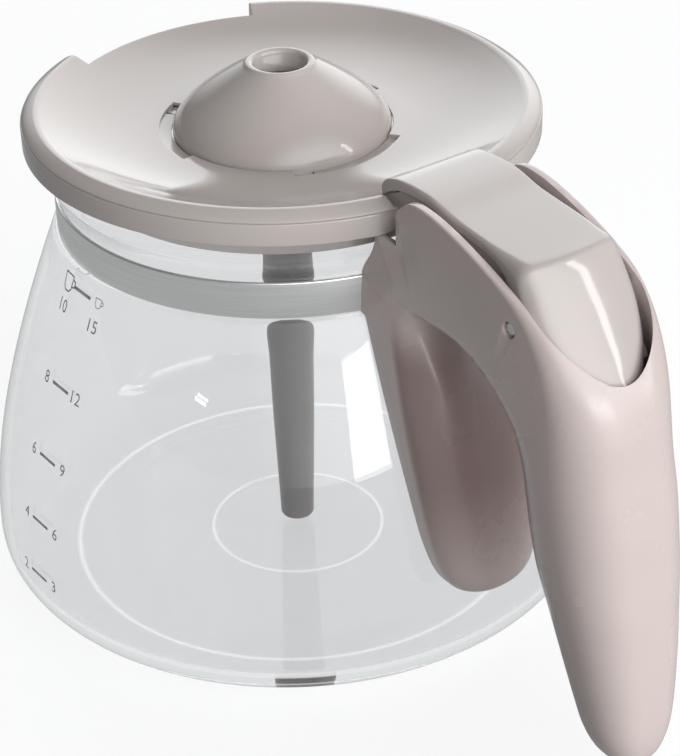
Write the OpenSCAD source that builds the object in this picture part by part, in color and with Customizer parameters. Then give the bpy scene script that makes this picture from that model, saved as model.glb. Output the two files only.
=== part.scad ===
// Glass coffee server with a hinged lid, a two-legged handle and a drip tube.
// Millimetres. The foot rests on z = 0, the jug's axis is Z and the handle points along +X.

/* [Glass jug] */
// Height of the glass from its foot to its mouth
jug_h = 118; // [114:0.5:122]
// Largest outer radius, just above the heel
belly_r = 76.5; // [73:0.5:80]
// Outer radius of the flat foot
foot_r = 56; // [50:0.5:60]
// Height at which the wall turns into the heel
heel_h = 13.3; // [10:0.1:16]
// Outer radius of the straight neck that the band sits on
neck_r = 54; // [52:0.1:56]
// Widening from the neck to the flared mouth
mouth_flare = 4.6; // [3.6:0.1:5]
// Thickness of the glass wall
glass_t = 2.3; // [1.8:0.1:2.8]
// Thickness of the glass floor
floor_t = 3; // [2.2:0.1:3.6]

/* [Neck band] */
// Height of the band
band_h = 9; // [7:0.1:10]
// Thickness of the band's strip
band_t = 0.9; // [0.7:0.05:1.1]
// Depth of the band's lower edge below the mouth
band_drop = 23; // [22:0.1:24]
// Diameter of the screw that pulls the band tight
screw_d = 4; // [3:0.1:4.5]

/* [Handle] */
// Width across the two cheeks
handle_w = 32; // [30:0.1:34]
// Distance from the jug's axis to the grip's outermost face
handle_reach = 134.6; // [130:0.2:140]
// Height of the cheeks' highest point above the mouth
cheek_rise = 10.6; // [9:0.1:12]
// Height of the grip's lowest point above the foot
grip_z = 9.8; // [7:0.1:14]
// Free width between the cheeks
slot_w = 28.1; // [27.6:0.1:28.4]
// Free gap between the inner leg and the glass
leg_gap = 0.8; // [0.5:0.05:1.5]

/* [Lid hinge] */
// Distance of the hinge pin from the grip's outermost face
pin_back = 32.1; // [29.6:0.5:34.6]
// Depth of the hinge pin below the mouth
pin_drop = 5; // [4:0.1:6]
// Diameter of the hinge pin
pin_d = 3.2; // [2.6:0.1:4]

/* [Lid] */
// Height of the rim's crest above the glass mouth
crest_rise = 6; // [5.4:0.1:6.8]
// Distance of the rim's crest inside the glass mouth's edge
crest_in = 0.8; // [0.2:0.1:1.6]
// Overhang of the rim's upper tier past the glass mouth
tier_out = 2.4; // [2:0.05:2.6]
// Overhang of the lower tier past the upper one
skirt_step = 0.3; // [0.1:0.05:0.8]
// Height of the lower tier
skirt_h = 5.4; // [4.8:0.1:6]
// Depth of the dish below the crest
dish_depth = 6.8; // [6:0.1:7.2]
// Thickness of the lid's walls
lid_t = 2.2; // [1.8:0.1:2.4]
// Angle of rim left out at the spout
spout_angle = 54; // [40:1:60]

/* [Drip dome] */
// Outer radius of the dome where it meets the dish
dome_r = 25.9; // [24:0.1:27]
// Height of the dome's lip above the dish
dome_h = 15.7; // [14:0.1:17]
// Radius of the drip hole's lip
drip_r = 7.4; // [6.8:0.1:8]
// Angle that the dome turns through between locked and free
twist_angle = 56; // [50:1:58]

/* [Drip tube] */
// Outer radius of the tube at its top
tube_top_r = 6.2; // [6:0.1:6.4]
// Outer radius of the tube just above its tip
tube_tip_r = 4.3; // [4:0.1:4.8]
// Height of the tube's tip above the glass floor
tube_clear = 2; // [1.5:0.1:4]
// Thickness of the tube's wall
tube_t = 1; // [0.8:0.05:1.2]

/* [Hidden] */

// Colours
glass_colour = [0.86, 0.91, 0.92, 0.4];
steel_colour = [0.62, 0.62, 0.61];
handle_colour = [0.80, 0.76, 0.74];
lid_colour = [0.84, 0.83, 0.82];
tube_colour = [0.47, 0.45, 0.44];

// Clearances
run_fit = 0.05;      // radial clearance of a pin or a screw in its bore
touch_gap = 0.05;    // gap of two pieces of one body that bear on each other
part_gap = 0.3;      // gap of two pieces that move past each other
cut = 1;             // overrun of a cut past a face
fine = 96;           // steps round a large circle
small = 32;          // steps round a small circle

// Places that follow from the sizes above
mouth_r = neck_r + mouth_flare;
band_z = jug_h - band_drop;
handle_top = jug_h + cheek_rise;
pin_x = handle_reach - pin_back;
pin_z = jug_h - pin_drop;
crest_z = jug_h + crest_rise;
crest_r = mouth_r - crest_in;
tier_r = mouth_r + tier_out;
skirt_r = tier_r + skirt_step;

// Curves: a cubic arc between two points with its two handles in the middle
function bez(a, b, c, d, n) = [for (i = [0:n]) let (t = i / n, s = 1 - t)
    s * s * s * a + 3 * s * s * t * b + 3 * s * t * t * c + t * t * t * d];
function tail(v) = [for (i = [1:len(v) - 1]) v[i]];
function flip(v) = [for (i = [len(v) - 1:-1:0]) v[i]];
function arc(c, r, a0, a1, n) = [for (i = [0:n]) let (a = a0 + (a1 - a0) * i / n)
    c + r * [cos(a), sin(a)]];
// A smooth curve from p1 to p2 that leaves room for its neighbours p0 and p3
function blend4(p0, p1, p2, p3, t) = 0.5 * (2 * p1 + (p2 - p0) * t
    + (2 * p0 - 5 * p1 + 4 * p2 - p3) * t * t + (3 * p1 - p0 - 3 * p2 + p3) * t * t * t);
// Place of a share on a row of stops: its whole part picks the span
function along(s, stops) = let (i = min(max(floor(s), 0), len(stops) - 2))
    stops[i] + (s - i) * (stops[i + 1] - stops[i]);
function smooth(v, n) = concat([for (i = [0:len(v) - 2], k = [0:n - 1])
    blend4(v[max(i - 1, 0)], v[i], v[i + 1], v[min(i + 2, len(v) - 1)], k / n)],
    [v[len(v) - 1]]);

// Glass profile: heel, wall, shoulder, neck and flared mouth, outer side first
shoulder_drop = 3;   // height of the hollow between the wall and the neck
shoulder_w = 2.8;    // depth of that hollow
heel_power = 0.95;   // squareness of the heel
quarter = 90;        // degrees of the heel's arc
shoulder_z = band_z - shoulder_drop;
shoulder_r = neck_r + shoulder_w;
wall_rise = shoulder_z - heel_h;
function heel(a, b, n) = [for (i = [0:n]) let (t = quarter * i / n)
    [a[0] + (b[0] - a[0]) * pow(sin(t), heel_power),
     a[1] + (b[1] - a[1]) * (1 - pow(cos(t), heel_power))]];
wall_pts = bez([belly_r, heel_h], [belly_r, heel_h + 0.28 * wall_rise],
               [shoulder_r + 0.57 * (belly_r - shoulder_r), heel_h + 0.635 * wall_rise],
               [shoulder_r, shoulder_z], 12);
seat_pts = bez([shoulder_r, shoulder_z], [neck_r + 0.6 * shoulder_w, band_z - 0.6 * shoulder_drop],
               [neck_r, band_z - 0.5 * shoulder_drop], [neck_r, band_z], 4);
lip = glass_t / 2;
flare_z = band_z + band_h;
flare_pts = bez([neck_r, flare_z], [neck_r, flare_z + 0.3 * (jug_h - flare_z)],
                [mouth_r, jug_h - 0.55 * (jug_h - flare_z)], [mouth_r, jug_h - lip], 6);
side_pts = concat(wall_pts, tail(seat_pts), flare_pts);
function wall_r(z) = lookup(z, [for (p = side_pts) [p[1], p[0]]]);
glass_outer = concat(heel([foot_r, 0], [belly_r, heel_h], 6), tail(side_pts));
glass_inner = concat(heel([foot_r - floor_t, floor_t], [belly_r - glass_t, heel_h], 6),
                     tail([for (p = side_pts) p - [glass_t, 0]]));

// Lid heights and radii
dish_z = crest_z - dish_depth;
step_drop = 2.1;      // height of the upper tier's outer side
tier_z = crest_z - step_drop;
skirt_z = tier_z - skirt_h;
skirt_t = 1.4;        // thickness of the lower tier
web_z = jug_h + 0.25 * lid_t;   // underside of the web over the glass rim
hole_r = dome_r + part_gap;
ledge_w = 2.9;        // width of the three lug recesses
floor_r = hole_r + ledge_w + 0.3 * lid_t;
plug_gap = 1.5;       // free gap round the ring inside the mouth
plug_r = neck_r - glass_t - plug_gap;
plug_h = 8;           // length of that ring below the dish
dish_pts = bez([floor_r, dish_z], [floor_r + 0.46 * (crest_r - floor_r), dish_z],
               [crest_r - 0.24 * (crest_r - floor_r), crest_z - 0.4 * dish_depth],
               [crest_r - 0.06 * (crest_r - floor_r), crest_z - 0.07 * dish_depth], 10);
rim_pts = bez([crest_r - 0.06 * (crest_r - floor_r), crest_z - 0.07 * dish_depth],
              [crest_r, crest_z + 0.02 * dish_depth], [tier_r, crest_z - 0.1 * step_drop],
              [tier_r, crest_z - 0.75 * step_drop], 8);
spout_mid = 180;      // direction of the spout
spout_in = 4.3;       // distance of the dish's edge at the spout inside the crest
spout_edge_r = crest_r - spout_in;
lever_w = 24;         // width of the lever
lever_gap = 0.2;      // gap at each side of the lever's root
cover_in = 4.6;       // reach of the lever's root inside the crest
cover_w = lever_w + 2 * lever_gap;
cover_x = crest_r - cover_in;
root_w = handle_w + 2 * part_gap;   // width of the cut that lets the cheeks in
root_x = mouth_r + leg_gap / 2;     // start of that cut

// Bayonet of the dome: three recesses with a hole at one end, three lugs
recess_starts = [-29, 91, 209];
recess_angle = 65;
hole_angle = 9.5;
lug_angle = 8;
lug_play = 0.5;       // angle left at the end of a locked lug
lug_h = 1.2;
recess_h = 0.4 * lid_t;
dome_t = 1.8;         // wall of the dome
tube_seat = 9.6;      // length of the tube's seat in the dome
bore_top = 0.67;      // share of the dome's height where the tube ends
lip_b = 1.2;          // radius of the rounded lip of the drip hole
lip_turn = 35;        // angle at which that lip meets the dome

pocket_r = 12.4;      // room round the hinge boss
sweep_r = 22.6;       // room for the thumb end of the lever
cheek_gap = 5.2;      // gap of the cheeks' front edge outside the lid
cheek_front = skirt_r + cheek_gap;
leg_d = 14;           // depth of the leg outside the glass

// Handle: shares of the spans between the neck, the cheeks' front, the pin and the grip's
// face, and between the grip's end, the band and the cheeks' top
function hx(s) = along(s, [neck_r, cheek_front, pin_x, handle_reach]);
function hz(s) = along(s, [grip_z, band_z, handle_top]);
// The leg follows the glass: a share of its depth outside the wall at that height
function leg_pt(s, t) = [wall_r(hz(t)) + s * leg_d, hz(t)];
// Each row: arch side and height, outer side and height, half width, the two edge roundings
leg_shares = [
    [0.362, 0.2183, 0.148, 0.2183, 0.15, 0.138, 0.075],
    [0.528, 0.2289, -0.051, 0.2289, 0.425, 0.4, 0.212],
    [0.674, 0.2559, -0.241, 0.2559, 0.662, 0.613, 0.287],
    [0.765, 0.3005, -0.371, 0.3005, 0.8, 0.738, 0.312],
    [0.805, 0.3779, -0.445, 0.3838, 0.912, 0.812, 0.25],
    [0.829, 0.4718, -0.463, 0.4894, 0.975, 0.85, 0.156],
    [0.913, 0.6127, -0.391, 0.6479, 1.025, 0.85, 0.125],
    [0.985, 0.7418, -0.326, 0.8005, 1.044, 0.787, 0.125],
    [1.013, 0.8592, -0.326, 0.9413, 1.038, 0.65, 0.125],
    [1.001, 0.9531, -0.286, 1.1488, 1.012, 0.475, 0.113]];
bridge_grip_shares = [
    [1.075, 1.0417, -0.32, 1.4167, 0.988, 0.325, 0.1],
    [1.0972, 1.1369, 0.24, 1.6845, 0.975, 0.25, 0.087],
    [1.1694, 1.1607, 0.992, 1.9286, 0.981, 0.225, 0.062],
    [1.2639, 1.1667, 1.1139, 1.997, 0.994, 0.225, 0.056],
    [1.375, 1.1667, 1.2972, 1.9911, 1, 0.237, 0.056],
    [1.4972, 1.1458, 1.4972, 1.9435, 1, 0.263, 0.056],
    [1.6083, 1.0952, 1.6917, 1.878, 1, 0.312, 0.056],
    [1.7056, 1.0208, 1.8944, 1.7976, 1, 0.375, 0.075],
    [1.7861, 0.973, 2.1153, 1.6964, 1, 0.45, 0.163],
    [1.85, 0.9343, 2.3333, 1.5595, 0.994, 0.525, 0.312],
    [1.8972, 0.8944, 2.4984, 1.3839, 0.988, 0.6, 0.5],
    [1.9278, 0.8521, 2.6231, 1.1875, 0.981, 0.662, 0.662],
    [1.9528, 0.8052, 2.7009, 0.9859, 0.981, 0.7, 0.762],
    [1.9722, 0.7535, 2.7508, 0.8826, 0.988, 0.725, 0.775],
    [1.9944, 0.6972, 2.8069, 0.77, 0.994, 0.738, 0.75],
    [2.0343, 0.6197, 2.8505, 0.6596, 0.975, 0.725, 0.725],
    [2.0903, 0.5399, 2.8879, 0.5587, 0.944, 0.7, 0.7],
    [2.1776, 0.446, 2.9252, 0.4531, 0.881, 0.662, 0.662],
    [2.2897, 0.3216, 2.9657, 0.3216, 0.8, 0.606, 0.606],
    [2.4081, 0.1854, 2.9938, 0.1831, 0.694, 0.531, 0.531],
    [2.4704, 0.108, 2.9969, 0.1056, 0.6, 0.463, 0.463],
    [2.5327, 0.0516, 2.9782, 0.0493, 0.475, 0.388, 0.388],
    [2.6012, 0.0188, 2.9408, 0.0176, 0.338, 0.287, 0.287],
    [2.6885, 0.0035, 2.8692, 0.0023, 0.175, 0.15, 0.15]];
// Side view of the hollow in the leg
core_shares = [
    [-1.662, 0.3545], [0.41, 0.3545], [0.533, 0.4131], [0.613, 0.4836], [0.684, 0.6127],
    [0.757, 0.7418], [0.784, 0.8592], [0.761, 0.9296], [-0.568, 0.9296]];
// Lid's lever and arm: shares of the spans between the lever's root, the crest, the pin and
// the end of the lever's room, and between that room's floor, the pin and the crest
function lx(s) = along(s, [cover_x, crest_r, pin_x, pin_x + sweep_r]);
function lz(s) = along(s, [pin_z - sweep_r, pin_z, crest_z]);
// Each row: top side x and z, underside x and z, half width
lever_shares = [
    [0.1087, 2.0273, 0.1957, 1.9182, 0.9], [0.1957, 2.1636, 0.3478, 1.9273, 0.958],
    [0.6522, 2.3364, 0.7826, 2.0636, 0.992], [1.0537, 2.4636, 1.0626, 2.2273, 1],
    [1.1834, 2.5091, 1.1879, 2.2909, 1], [1.3177, 2.4909, 1.3177, 2.2727, 1],
    [1.4743, 2.3545, 1.4698, 2.1364, 1], [1.6309, 2.2818, 1.6286, 2.0636, 1],
    [1.7875, 2.2273, 1.7852, 2.0091, 1], [1.9217, 2.1909, 1.915, 1.9727, 1],
    [2.0133, 2.1636, 1.9799, 1.9455, 0.992], [2.1195, 2, 2.0398, 1.8182, 0.975],
    [2.2699, 1.5818, 2.1903, 1.4455, 0.942], [2.4292, 1.0727, 2.3407, 0.9867, 0.883],
    [2.5619, 0.7965, 2.469, 0.7478, 0.792], [2.6858, 0.6195, 2.5973, 0.5575, 0.65],
    [2.7699, 0.5221, 2.6947, 0.4602, 0.45], [2.8097, 0.4779, 2.7655, 0.4336, 0.2]];
// Side view of the arm under the lever
arm_shares = [
    [0.1739, 1.5545], [1.1029, 1.5545], [1.2729, 1.1455], [1.5414, 0.8496], [1.7651, 0.7876],
    [1.877, 0.8097], [2, 0.8186], [2.1549, 0.8938], [2.3053, 0.7168], [2.4912, 0.5088],
    [2.5796, 0.5575], [2.4513, 0.7566], [2.323, 0.9823], [2.1726, 1.4182], [2.0221, 1.7818],
    [1.9664, 1.9091], [1.7875, 1.9909], [1.6309, 2.0455], [1.4743, 2.1182], [1.3177, 2.2545],
    [1.1834, 2.2727], [1.0716, 2.2091], [0.913, 2.0545], [0.4348, 1.9091], [0.1739, 1.7818]];
pocket_drop = 5.6;    // depth of the floor between the cheeks below the pin
boss_r = 5.5;
rib_t = 2.4;          // thickness of the ribs in the leg and the arm
arm_w = 22;           // width across the arm's two ribs
core_w = 22;          // width of the hollow in the inner leg
pin_inset = 0.4;      // depth of the pin's ends below the cheeks
strap_r = neck_r + touch_gap;
clamp_z = band_z + band_h / 2;
ear_gap = 6.8;        // free width between the band's ears
ear_l = 6.4;          // length of the band's ears
ear_room = 1.9;       // free depth past the ears
cavity_x = neck_r + ear_l + ear_room;
cavity_w = 13;        // width of that room
wall_l = 2.6;         // thickness that the screw's washer bears on
wall_x = cavity_x + wall_l;
washer_t = 0.6;
head_h = 2.8;
shank_l = 9.4;

// One rounded section between the side-view points a and b. Its edges are rounded by
// ra at a and rb at b, measured across the handle, and by less where the section is thin
function corner(c, u, d, y, rd, ry, a0) = [for (k = [0:6]) let (a = a0 + 15 * k)
    [c[0] + u[0] * (d + rd * cos(a)), y + ry * sin(a), c[1] + u[1] * (d + rd * cos(a))]];
function section(a, b, w, ra, rb) = let (h = norm(b - a) / 2, c = (a + b) / 2,
    u = (b - a) / (2 * h), py = min(ra, 0.96 * w), qy = min(rb, 0.96 * w),
    p = min(ra, 0.96 * h), q = min(rb, 0.96 * h))
    concat(corner(c, u, h - q, w - qy, q, qy, 0), corner(c, u, p - h, w - py, p, py, 90),
           corner(c, u, p - h, py - w, p, py, 180), corner(c, u, h - q, qy - w, q, qy, 270));

module loft(rows) {
    n = len(rows[0]);
    m = len(rows);
    polyhedron(points = [for (r = rows, p = r) p],
        faces = concat([[for (k = [n - 1:-1:0]) k]], [[for (k = [0:n - 1]) (m - 1) * n + k]],
            [for (i = [0:m - 2], k = [0:n - 1]) let (a = i * n + k, b = i * n + (k + 1) % n)
                each [[a, b, b + n], [a, b + n, a + n]]]), convexity = 8);
}

// A cylinder along X or Y from its start
module rod_x(p, r, l) translate(p) rotate([0, 90, 0]) cylinder(r = r, h = l, $fn = small);
module rod_y(x, z, r, l) translate([x, l / 2, z]) rotate([90, 0, 0])
    cylinder(r = r, h = l, $fn = small);
// A plate across the handle with the given side view
module across(pts, w) rotate([90, 0, 0]) linear_extrude(w, center = true) polygon(pts);
// A ring sector from angle a over the angle da
module sector(r0, r1, z0, z1, a, da) rotate([0, 0, a]) rotate_extrude(angle = da, $fn = fine)
    polygon([[r0, z0], [r1, z0], [r1, z1], [r0, z1]]);

module glass_jug() {
    color(glass_colour) rotate_extrude($fn = fine)
        polygon(concat([[0, 0]], glass_outer,
            tail(arc([mouth_r - lip, jug_h - lip], lip, 0, 180, 6)),
            tail(flip(glass_inner)), [[0, floor_t]]));
}

module neck_band() {
    color(steel_colour) difference() {
        union() {
            difference() {
                translate([0, 0, band_z]) cylinder(r = strap_r + band_t, h = band_h, $fn = fine);
                translate([0, -ear_gap / 2, band_z - cut])
                    cube([handle_reach, ear_gap, band_h + 2 * cut]);
            }
            for (s = [0, 1]) mirror([0, s, 0])
                translate([neck_r, ear_gap / 2, band_z]) cube([ear_l + band_t, band_t, band_h]);
        }
        translate([0, 0, band_z - cut])
            cylinder(r = strap_r, h = band_h + 2 * cut, $fn = fine);
        for (s = [-1, 1]) rod_y(neck_r + ear_l / 1.5, clamp_z + s * band_h / 3.2,
                                band_t + run_fit, cavity_w);
    }
}

module strap_anchor() {
    block_l = ear_l - band_t;
    color(steel_colour) difference() {
        union() {
            translate([neck_r + 2 * band_t, -ear_gap / 2 + part_gap, band_z + band_t / 2])
                cube([block_l, ear_gap - 2 * part_gap, band_h - band_t]);
            for (s = [-1, 1]) rod_y(neck_r + ear_l / 1.5, clamp_z + s * band_h / 3.2,
                                    band_t, ear_gap + 3 * band_t);
        }
        rod_x([neck_r, 0, clamp_z], screw_d / 2 + run_fit, handle_reach - neck_r);
    }
}

module clamp_screw() {
    color(steel_colour) difference() {
        union() {
            rod_x([wall_x + washer_t + touch_gap, 0, clamp_z], 0.9 * screw_d, head_h);
            rod_x([wall_x + washer_t + touch_gap - shank_l, 0, clamp_z], screw_d / 2,
                  shank_l + touch_gap);
        }
        translate([wall_x + washer_t + 0.45 * head_h, 0, clamp_z]) rotate([0, 90, 0])
            cylinder(r = 0.45 * screw_d, h = head_h, $fn = 6);
    }
}

module clamp_washer() {
    color(steel_colour) difference() {
        rod_x([wall_x, 0, clamp_z], screw_d, washer_t);
        rod_x([wall_x - cut, 0, clamp_z], screw_d / 2 + run_fit, washer_t + 2 * cut);
    }
}

// Room between the cheeks for the arm, the hinge boss and the pressed lever
module pocket() {
    intersection() {
        union() {
            translate([0, -slot_w / 2, 0]) cube([pin_x + 0.18 * slot_w, slot_w, 2 * jug_h]);
            translate([pin_x + 0.18 * slot_w, 0, 0])
                cylinder(r = slot_w / 2, h = 2 * jug_h, $fn = fine);
        }
        union() {
            across([[0, pin_z - pocket_drop], [pin_x, pin_z - pocket_drop], [pin_x, 2 * jug_h],
                    [0, 2 * jug_h]], handle_w);
            rod_y(pin_x, pin_z, pocket_r, handle_w);
            difference() {
                union() {
                    rod_y(pin_x, pin_z, sweep_r, handle_w);
                    translate([pin_x, -handle_w / 2, pin_z]) cube([sweep_r, handle_w, jug_h]);
                }
                translate([0, -handle_w, 0])
                    cube([pin_x - 0.28 * pocket_r, 2 * handle_w, 2 * jug_h]);
            }
        }
    }
}

// Shape of the glass and the band grown by the leg's gap, and the lid's room above it
module jug_room() {
    room_z = skirt_z - part_gap;
    rotate_extrude($fn = fine) polygon(concat([[0, -cut]],
        [for (p = glass_outer) if (p[1] < room_z) p + [leg_gap, 0]],
        [[mouth_r + leg_gap + touch_gap, room_z], [cheek_front, room_z],
         [cheek_front, 2 * jug_h], [0, 2 * jug_h]]));
    translate([0, 0, band_z - touch_gap])
        cylinder(r = strap_r + band_t + touch_gap, h = band_h + 2 * touch_gap, $fn = fine);
}

module handle_body() {
    rows = smooth(concat(
        [for (s = leg_shares) concat(leg_pt(s[0], s[1]), leg_pt(s[2], s[3]),
                                     [for (k = [4:6]) s[k] * handle_w / 2])],
        [for (s = bridge_grip_shares) concat([hx(s[0]), hz(s[1])], [hx(s[2]), hz(s[3])],
                                             [for (k = [4:6]) s[k] * handle_w / 2])]), 2);
    color(handle_colour) difference() {
        loft([for (r = rows) section([r[0], r[1]], [r[2], r[3]], r[4], r[5], r[6])]);
        jug_room();
        pocket();
        rod_y(pin_x, pin_z, pin_d / 2 + run_fit, 2 * handle_w);
        // Hollow of the leg, left and right of a middle rib
        for (s = [-1, 1]) translate([0, s * (core_w + rib_t) / 4, 0])
            across([for (c = core_shares) leg_pt(c[0], c[1])], (core_w - rib_t) / 2);
        // Room for the band's ears, the anchor and the screw
        translate([0, -cavity_w / 2, band_z - touch_gap])
            cube([cavity_x, cavity_w, band_h + 2 * touch_gap]);
        rod_x([neck_r, 0, clamp_z], screw_d / 2 + run_fit, wall_x - neck_r);
        rod_x([wall_x, 0, clamp_z], screw_d + 4 * run_fit, 4 * head_h);
    }
}

module hinge_pin() {
    color(steel_colour) rod_y(pin_x, pin_z, pin_d / 2, 0.985 * handle_w - 2 * pin_inset);
}

module lid_base() {
    under = [for (p = dish_pts) if (p[0] > plug_r - lid_t) p - [0, lid_t + touch_gap]];
    arm_pts = [for (p = arm_shares) [lx(p[0]), lz(p[1])]];
    color(lid_colour) difference() {
        union() {
            difference() {
                rotate_extrude($fn = fine) polygon(concat(
                    [[plug_r - lid_t, dish_z - plug_h], [plug_r, dish_z - plug_h],
                     [plug_r, web_z - 1.8 * lid_t], [plug_r + 1.2 * lid_t, web_z],
                     [skirt_r - skirt_t, web_z], [skirt_r - skirt_t, skirt_z],
                     [skirt_r, skirt_z], [skirt_r, tier_z - touch_gap],
                     [crest_r, tier_z - touch_gap]],
                    flip(under), [[plug_r - lid_t, under[0][1]]]));
                translate([root_x, -root_w / 2, 0]) cube([handle_reach, root_w, 2 * jug_h]);
                sector(plug_r - 2 * lid_t, 2 * skirt_r, 0, 2 * jug_h,
                       spout_mid - spout_angle / 2, spout_angle);
            }
            for (s = [-1, 1]) translate([0, s * (arm_w - rib_t) / 2, 0])
                across(arm_pts, rib_t);
            across([for (i = [14:24]) arm_pts[i], arm_pts[0], arm_pts[1],
                    for (i = [19:-1:14]) arm_pts[i] - [0, rib_t]], arm_w);
            rod_y(pin_x, pin_z, boss_r, slot_w - 2 * part_gap);
        }
        rod_y(pin_x, pin_z, pin_d / 2 + run_fit, handle_w);
    }
}

module lid_dish() {
    color(lid_colour) difference() {
        rotate_extrude($fn = fine) polygon(concat([[hole_r, dish_z - lid_t], [hole_r, dish_z]],
            dish_pts, tail(rim_pts), [[tier_r, tier_z], [crest_r, tier_z]],
            [for (p = flip(dish_pts)) if (p[1] - lid_t < tier_z) p - [0, lid_t]]));
        sector(spout_edge_r, 2 * skirt_r, 0, 2 * jug_h, spout_mid - spout_angle / 2, spout_angle);
        translate([cover_x, -cover_w / 2, 0]) cube([handle_reach, cover_w, 2 * jug_h]);
        for (a = recess_starts) {
            sector(hole_r - cut, hole_r + ledge_w, dish_z - recess_h, dish_z + cut, a, recess_angle);
            sector(hole_r - cut, hole_r + ledge_w, dish_z - 2 * lid_t, dish_z + cut, a, hole_angle);
        }
    }
}

module lever_cover() {
    rows = smooth([for (s = lever_shares) [lx(s[0]), lz(s[1]), lx(s[2]), lz(s[3]),
                                           s[4] * lever_w / 2]], 2);
    color(lid_colour) loft([for (r = rows)
        section([r[2], r[3]], [r[0], r[1]], r[4], 0.2 * lid_t, 0.4 * lid_t)]);
}

module dome_cap() {
    lip_c = [drip_r, dish_z + dome_h - lip_b];
    outer = bez([dome_r, dish_z], [0.98 * dome_r, dish_z + 0.28 * dome_h],
                [0.687 * dome_r, dish_z + 0.6 * dome_h],
                lip_c + lip_b * [cos(lip_turn), sin(lip_turn)], 12);
    inner = bez([dome_r - dome_t, dish_z], [0.98 * dome_r - dome_t, dish_z + 0.22 * dome_h],
                [0.64 * dome_r, dish_z + 0.5 * dome_h],
                [tube_top_r + dome_t + touch_gap, dish_z + 0.79 * dome_h], 12);
    seat_r = tube_top_r + touch_gap;
    seat_z = dish_z + bore_top * dome_h;
    color(lid_colour) {
        rotate_extrude($fn = fine) polygon(concat(
            [[dome_r - dome_t, dish_z - lid_t - lug_h - touch_gap],
             [dome_r, dish_z - lid_t - lug_h - touch_gap]],
            outer, tail(arc(lip_c, lip_b, lip_turn, 180, 8)),
            [[tube_top_r - tube_t, seat_z + lip_b], [tube_top_r - tube_t, seat_z],
             [seat_r, seat_z], [seat_r, seat_z - tube_seat],
             [seat_r + dome_t, seat_z - tube_seat]], flip(inner)));
        for (a = recess_starts)
            sector(dome_r - dome_t / 2, hole_r + ledge_w - part_gap,
                   dish_z - lid_t - lug_h - touch_gap, dish_z - lid_t - part_gap,
                   a + recess_angle - lug_play - lug_angle, lug_angle);
    }
}

module drip_tube() {
    top = dish_z + bore_top * dome_h - touch_gap;
    tip = floor_t + tube_clear;
    run = top - tip;
    mid = [for (s = [[0.14, 0.26], [0.27, 0.53], [0.45, 0.74], [0.61, 1]])
           [tube_tip_r + s[1] * (tube_top_r - tube_tip_r), tip + s[0] * run]];
    outer = concat(arc([tube_tip_r - tube_t, tip + tube_t], tube_t, -90, 0, 5),
                   mid, [[tube_top_r, top]]);
    color(tube_colour) rotate_extrude($fn = small)
        polygon(concat(outer, [[tube_top_r - tube_t, top]],
            [for (p = flip(mid)) p - [tube_t, 0]],
            [[tube_tip_r - 1.3 * tube_t, tip + 2 * tube_t],
             [tube_tip_r - 1.8 * tube_t, tip + tube_t], [tube_tip_r - 1.8 * tube_t, tip]]));
}

glass_jug();
neck_band();
strap_anchor();
handle_body();
clamp_screw();
clamp_washer();
hinge_pin();
lid_base();
lid_dish();
lever_cover();
dome_cap();
drip_tube();
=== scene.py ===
"""Looks of the glass coffee server: its pieces, finishes, camera and light.

The sizes of the pieces, the floor and the camera's place are millimetres. Finishes and lamps
are given in metres, and meshes are written in metres. The foot rests on z = 0, the jug's axis
is Z, the handle points along +X and the spout along -X.
"""

import logging
import math
from dataclasses import dataclass
from enum import Enum
from typing import Sequence

import bmesh
import bpy
import numpy as np
from mathutils import Matrix, Vector


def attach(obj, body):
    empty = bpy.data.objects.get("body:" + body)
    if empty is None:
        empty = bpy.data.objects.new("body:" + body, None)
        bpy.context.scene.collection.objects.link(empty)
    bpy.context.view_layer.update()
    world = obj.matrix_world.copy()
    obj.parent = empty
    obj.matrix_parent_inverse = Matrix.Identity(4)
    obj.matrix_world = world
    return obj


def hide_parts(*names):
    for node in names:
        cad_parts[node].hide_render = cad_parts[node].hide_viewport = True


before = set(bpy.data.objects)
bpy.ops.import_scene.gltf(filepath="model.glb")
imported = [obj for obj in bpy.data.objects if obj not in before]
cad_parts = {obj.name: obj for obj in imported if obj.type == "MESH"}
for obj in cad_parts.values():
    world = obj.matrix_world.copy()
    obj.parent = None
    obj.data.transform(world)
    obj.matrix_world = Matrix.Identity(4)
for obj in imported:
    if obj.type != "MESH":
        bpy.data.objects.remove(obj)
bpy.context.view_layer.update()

LOG = logging.getLogger("coffee_server")
MM = 0.001

# Places and sizes that several pieces share, in millimetres
BAND_Z, BAND_H = 95.0, 9.0
CLAMP_Z = BAND_Z + BAND_H / 2
PIN_X, PIN_Z = 102.5, 113.0
BORE_R = 1.65
TOUCH = 0.05
CUT_LOW, CUT_HIGH, CUT_FAR = 80.0, 150.0, 140.0


class Body(Enum):
    """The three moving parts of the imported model."""

    JUG = "jug"
    LID = "lid"
    INSERT = "insert"


class Cut(Enum):
    """What a second solid does to a piece."""

    TAKE = "DIFFERENCE"
    JOIN = "UNION"
    KEEP = "INTERSECT"


# Curves in a plane

def cubic(a: Sequence[float], b: Sequence[float], c: Sequence[float], d: Sequence[float],
          steps: int) -> np.ndarray:
    """Gives a cubic arc from a to d that leaves towards b and arrives from c.

    Each point is the sum of the four given ones, weighted by s^3, 3 s^2 t, 3 s t^2 and t^3
    with s = 1 - t.

    Args:
        a: The first point.
        b: The handle of the first point.
        c: The handle of the last point.
        d: The last point.
        steps: The number of spans.

    Returns:
        The points, one row each.
    """
    t = np.linspace(0.0, 1.0, steps + 1)[:, None]
    s = 1 - t
    a, b, c, d = (np.asarray(p, float) for p in (a, b, c, d))
    return s ** 3 * a + 3 * s * s * t * b + 3 * s * t * t * c + t ** 3 * d


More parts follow.
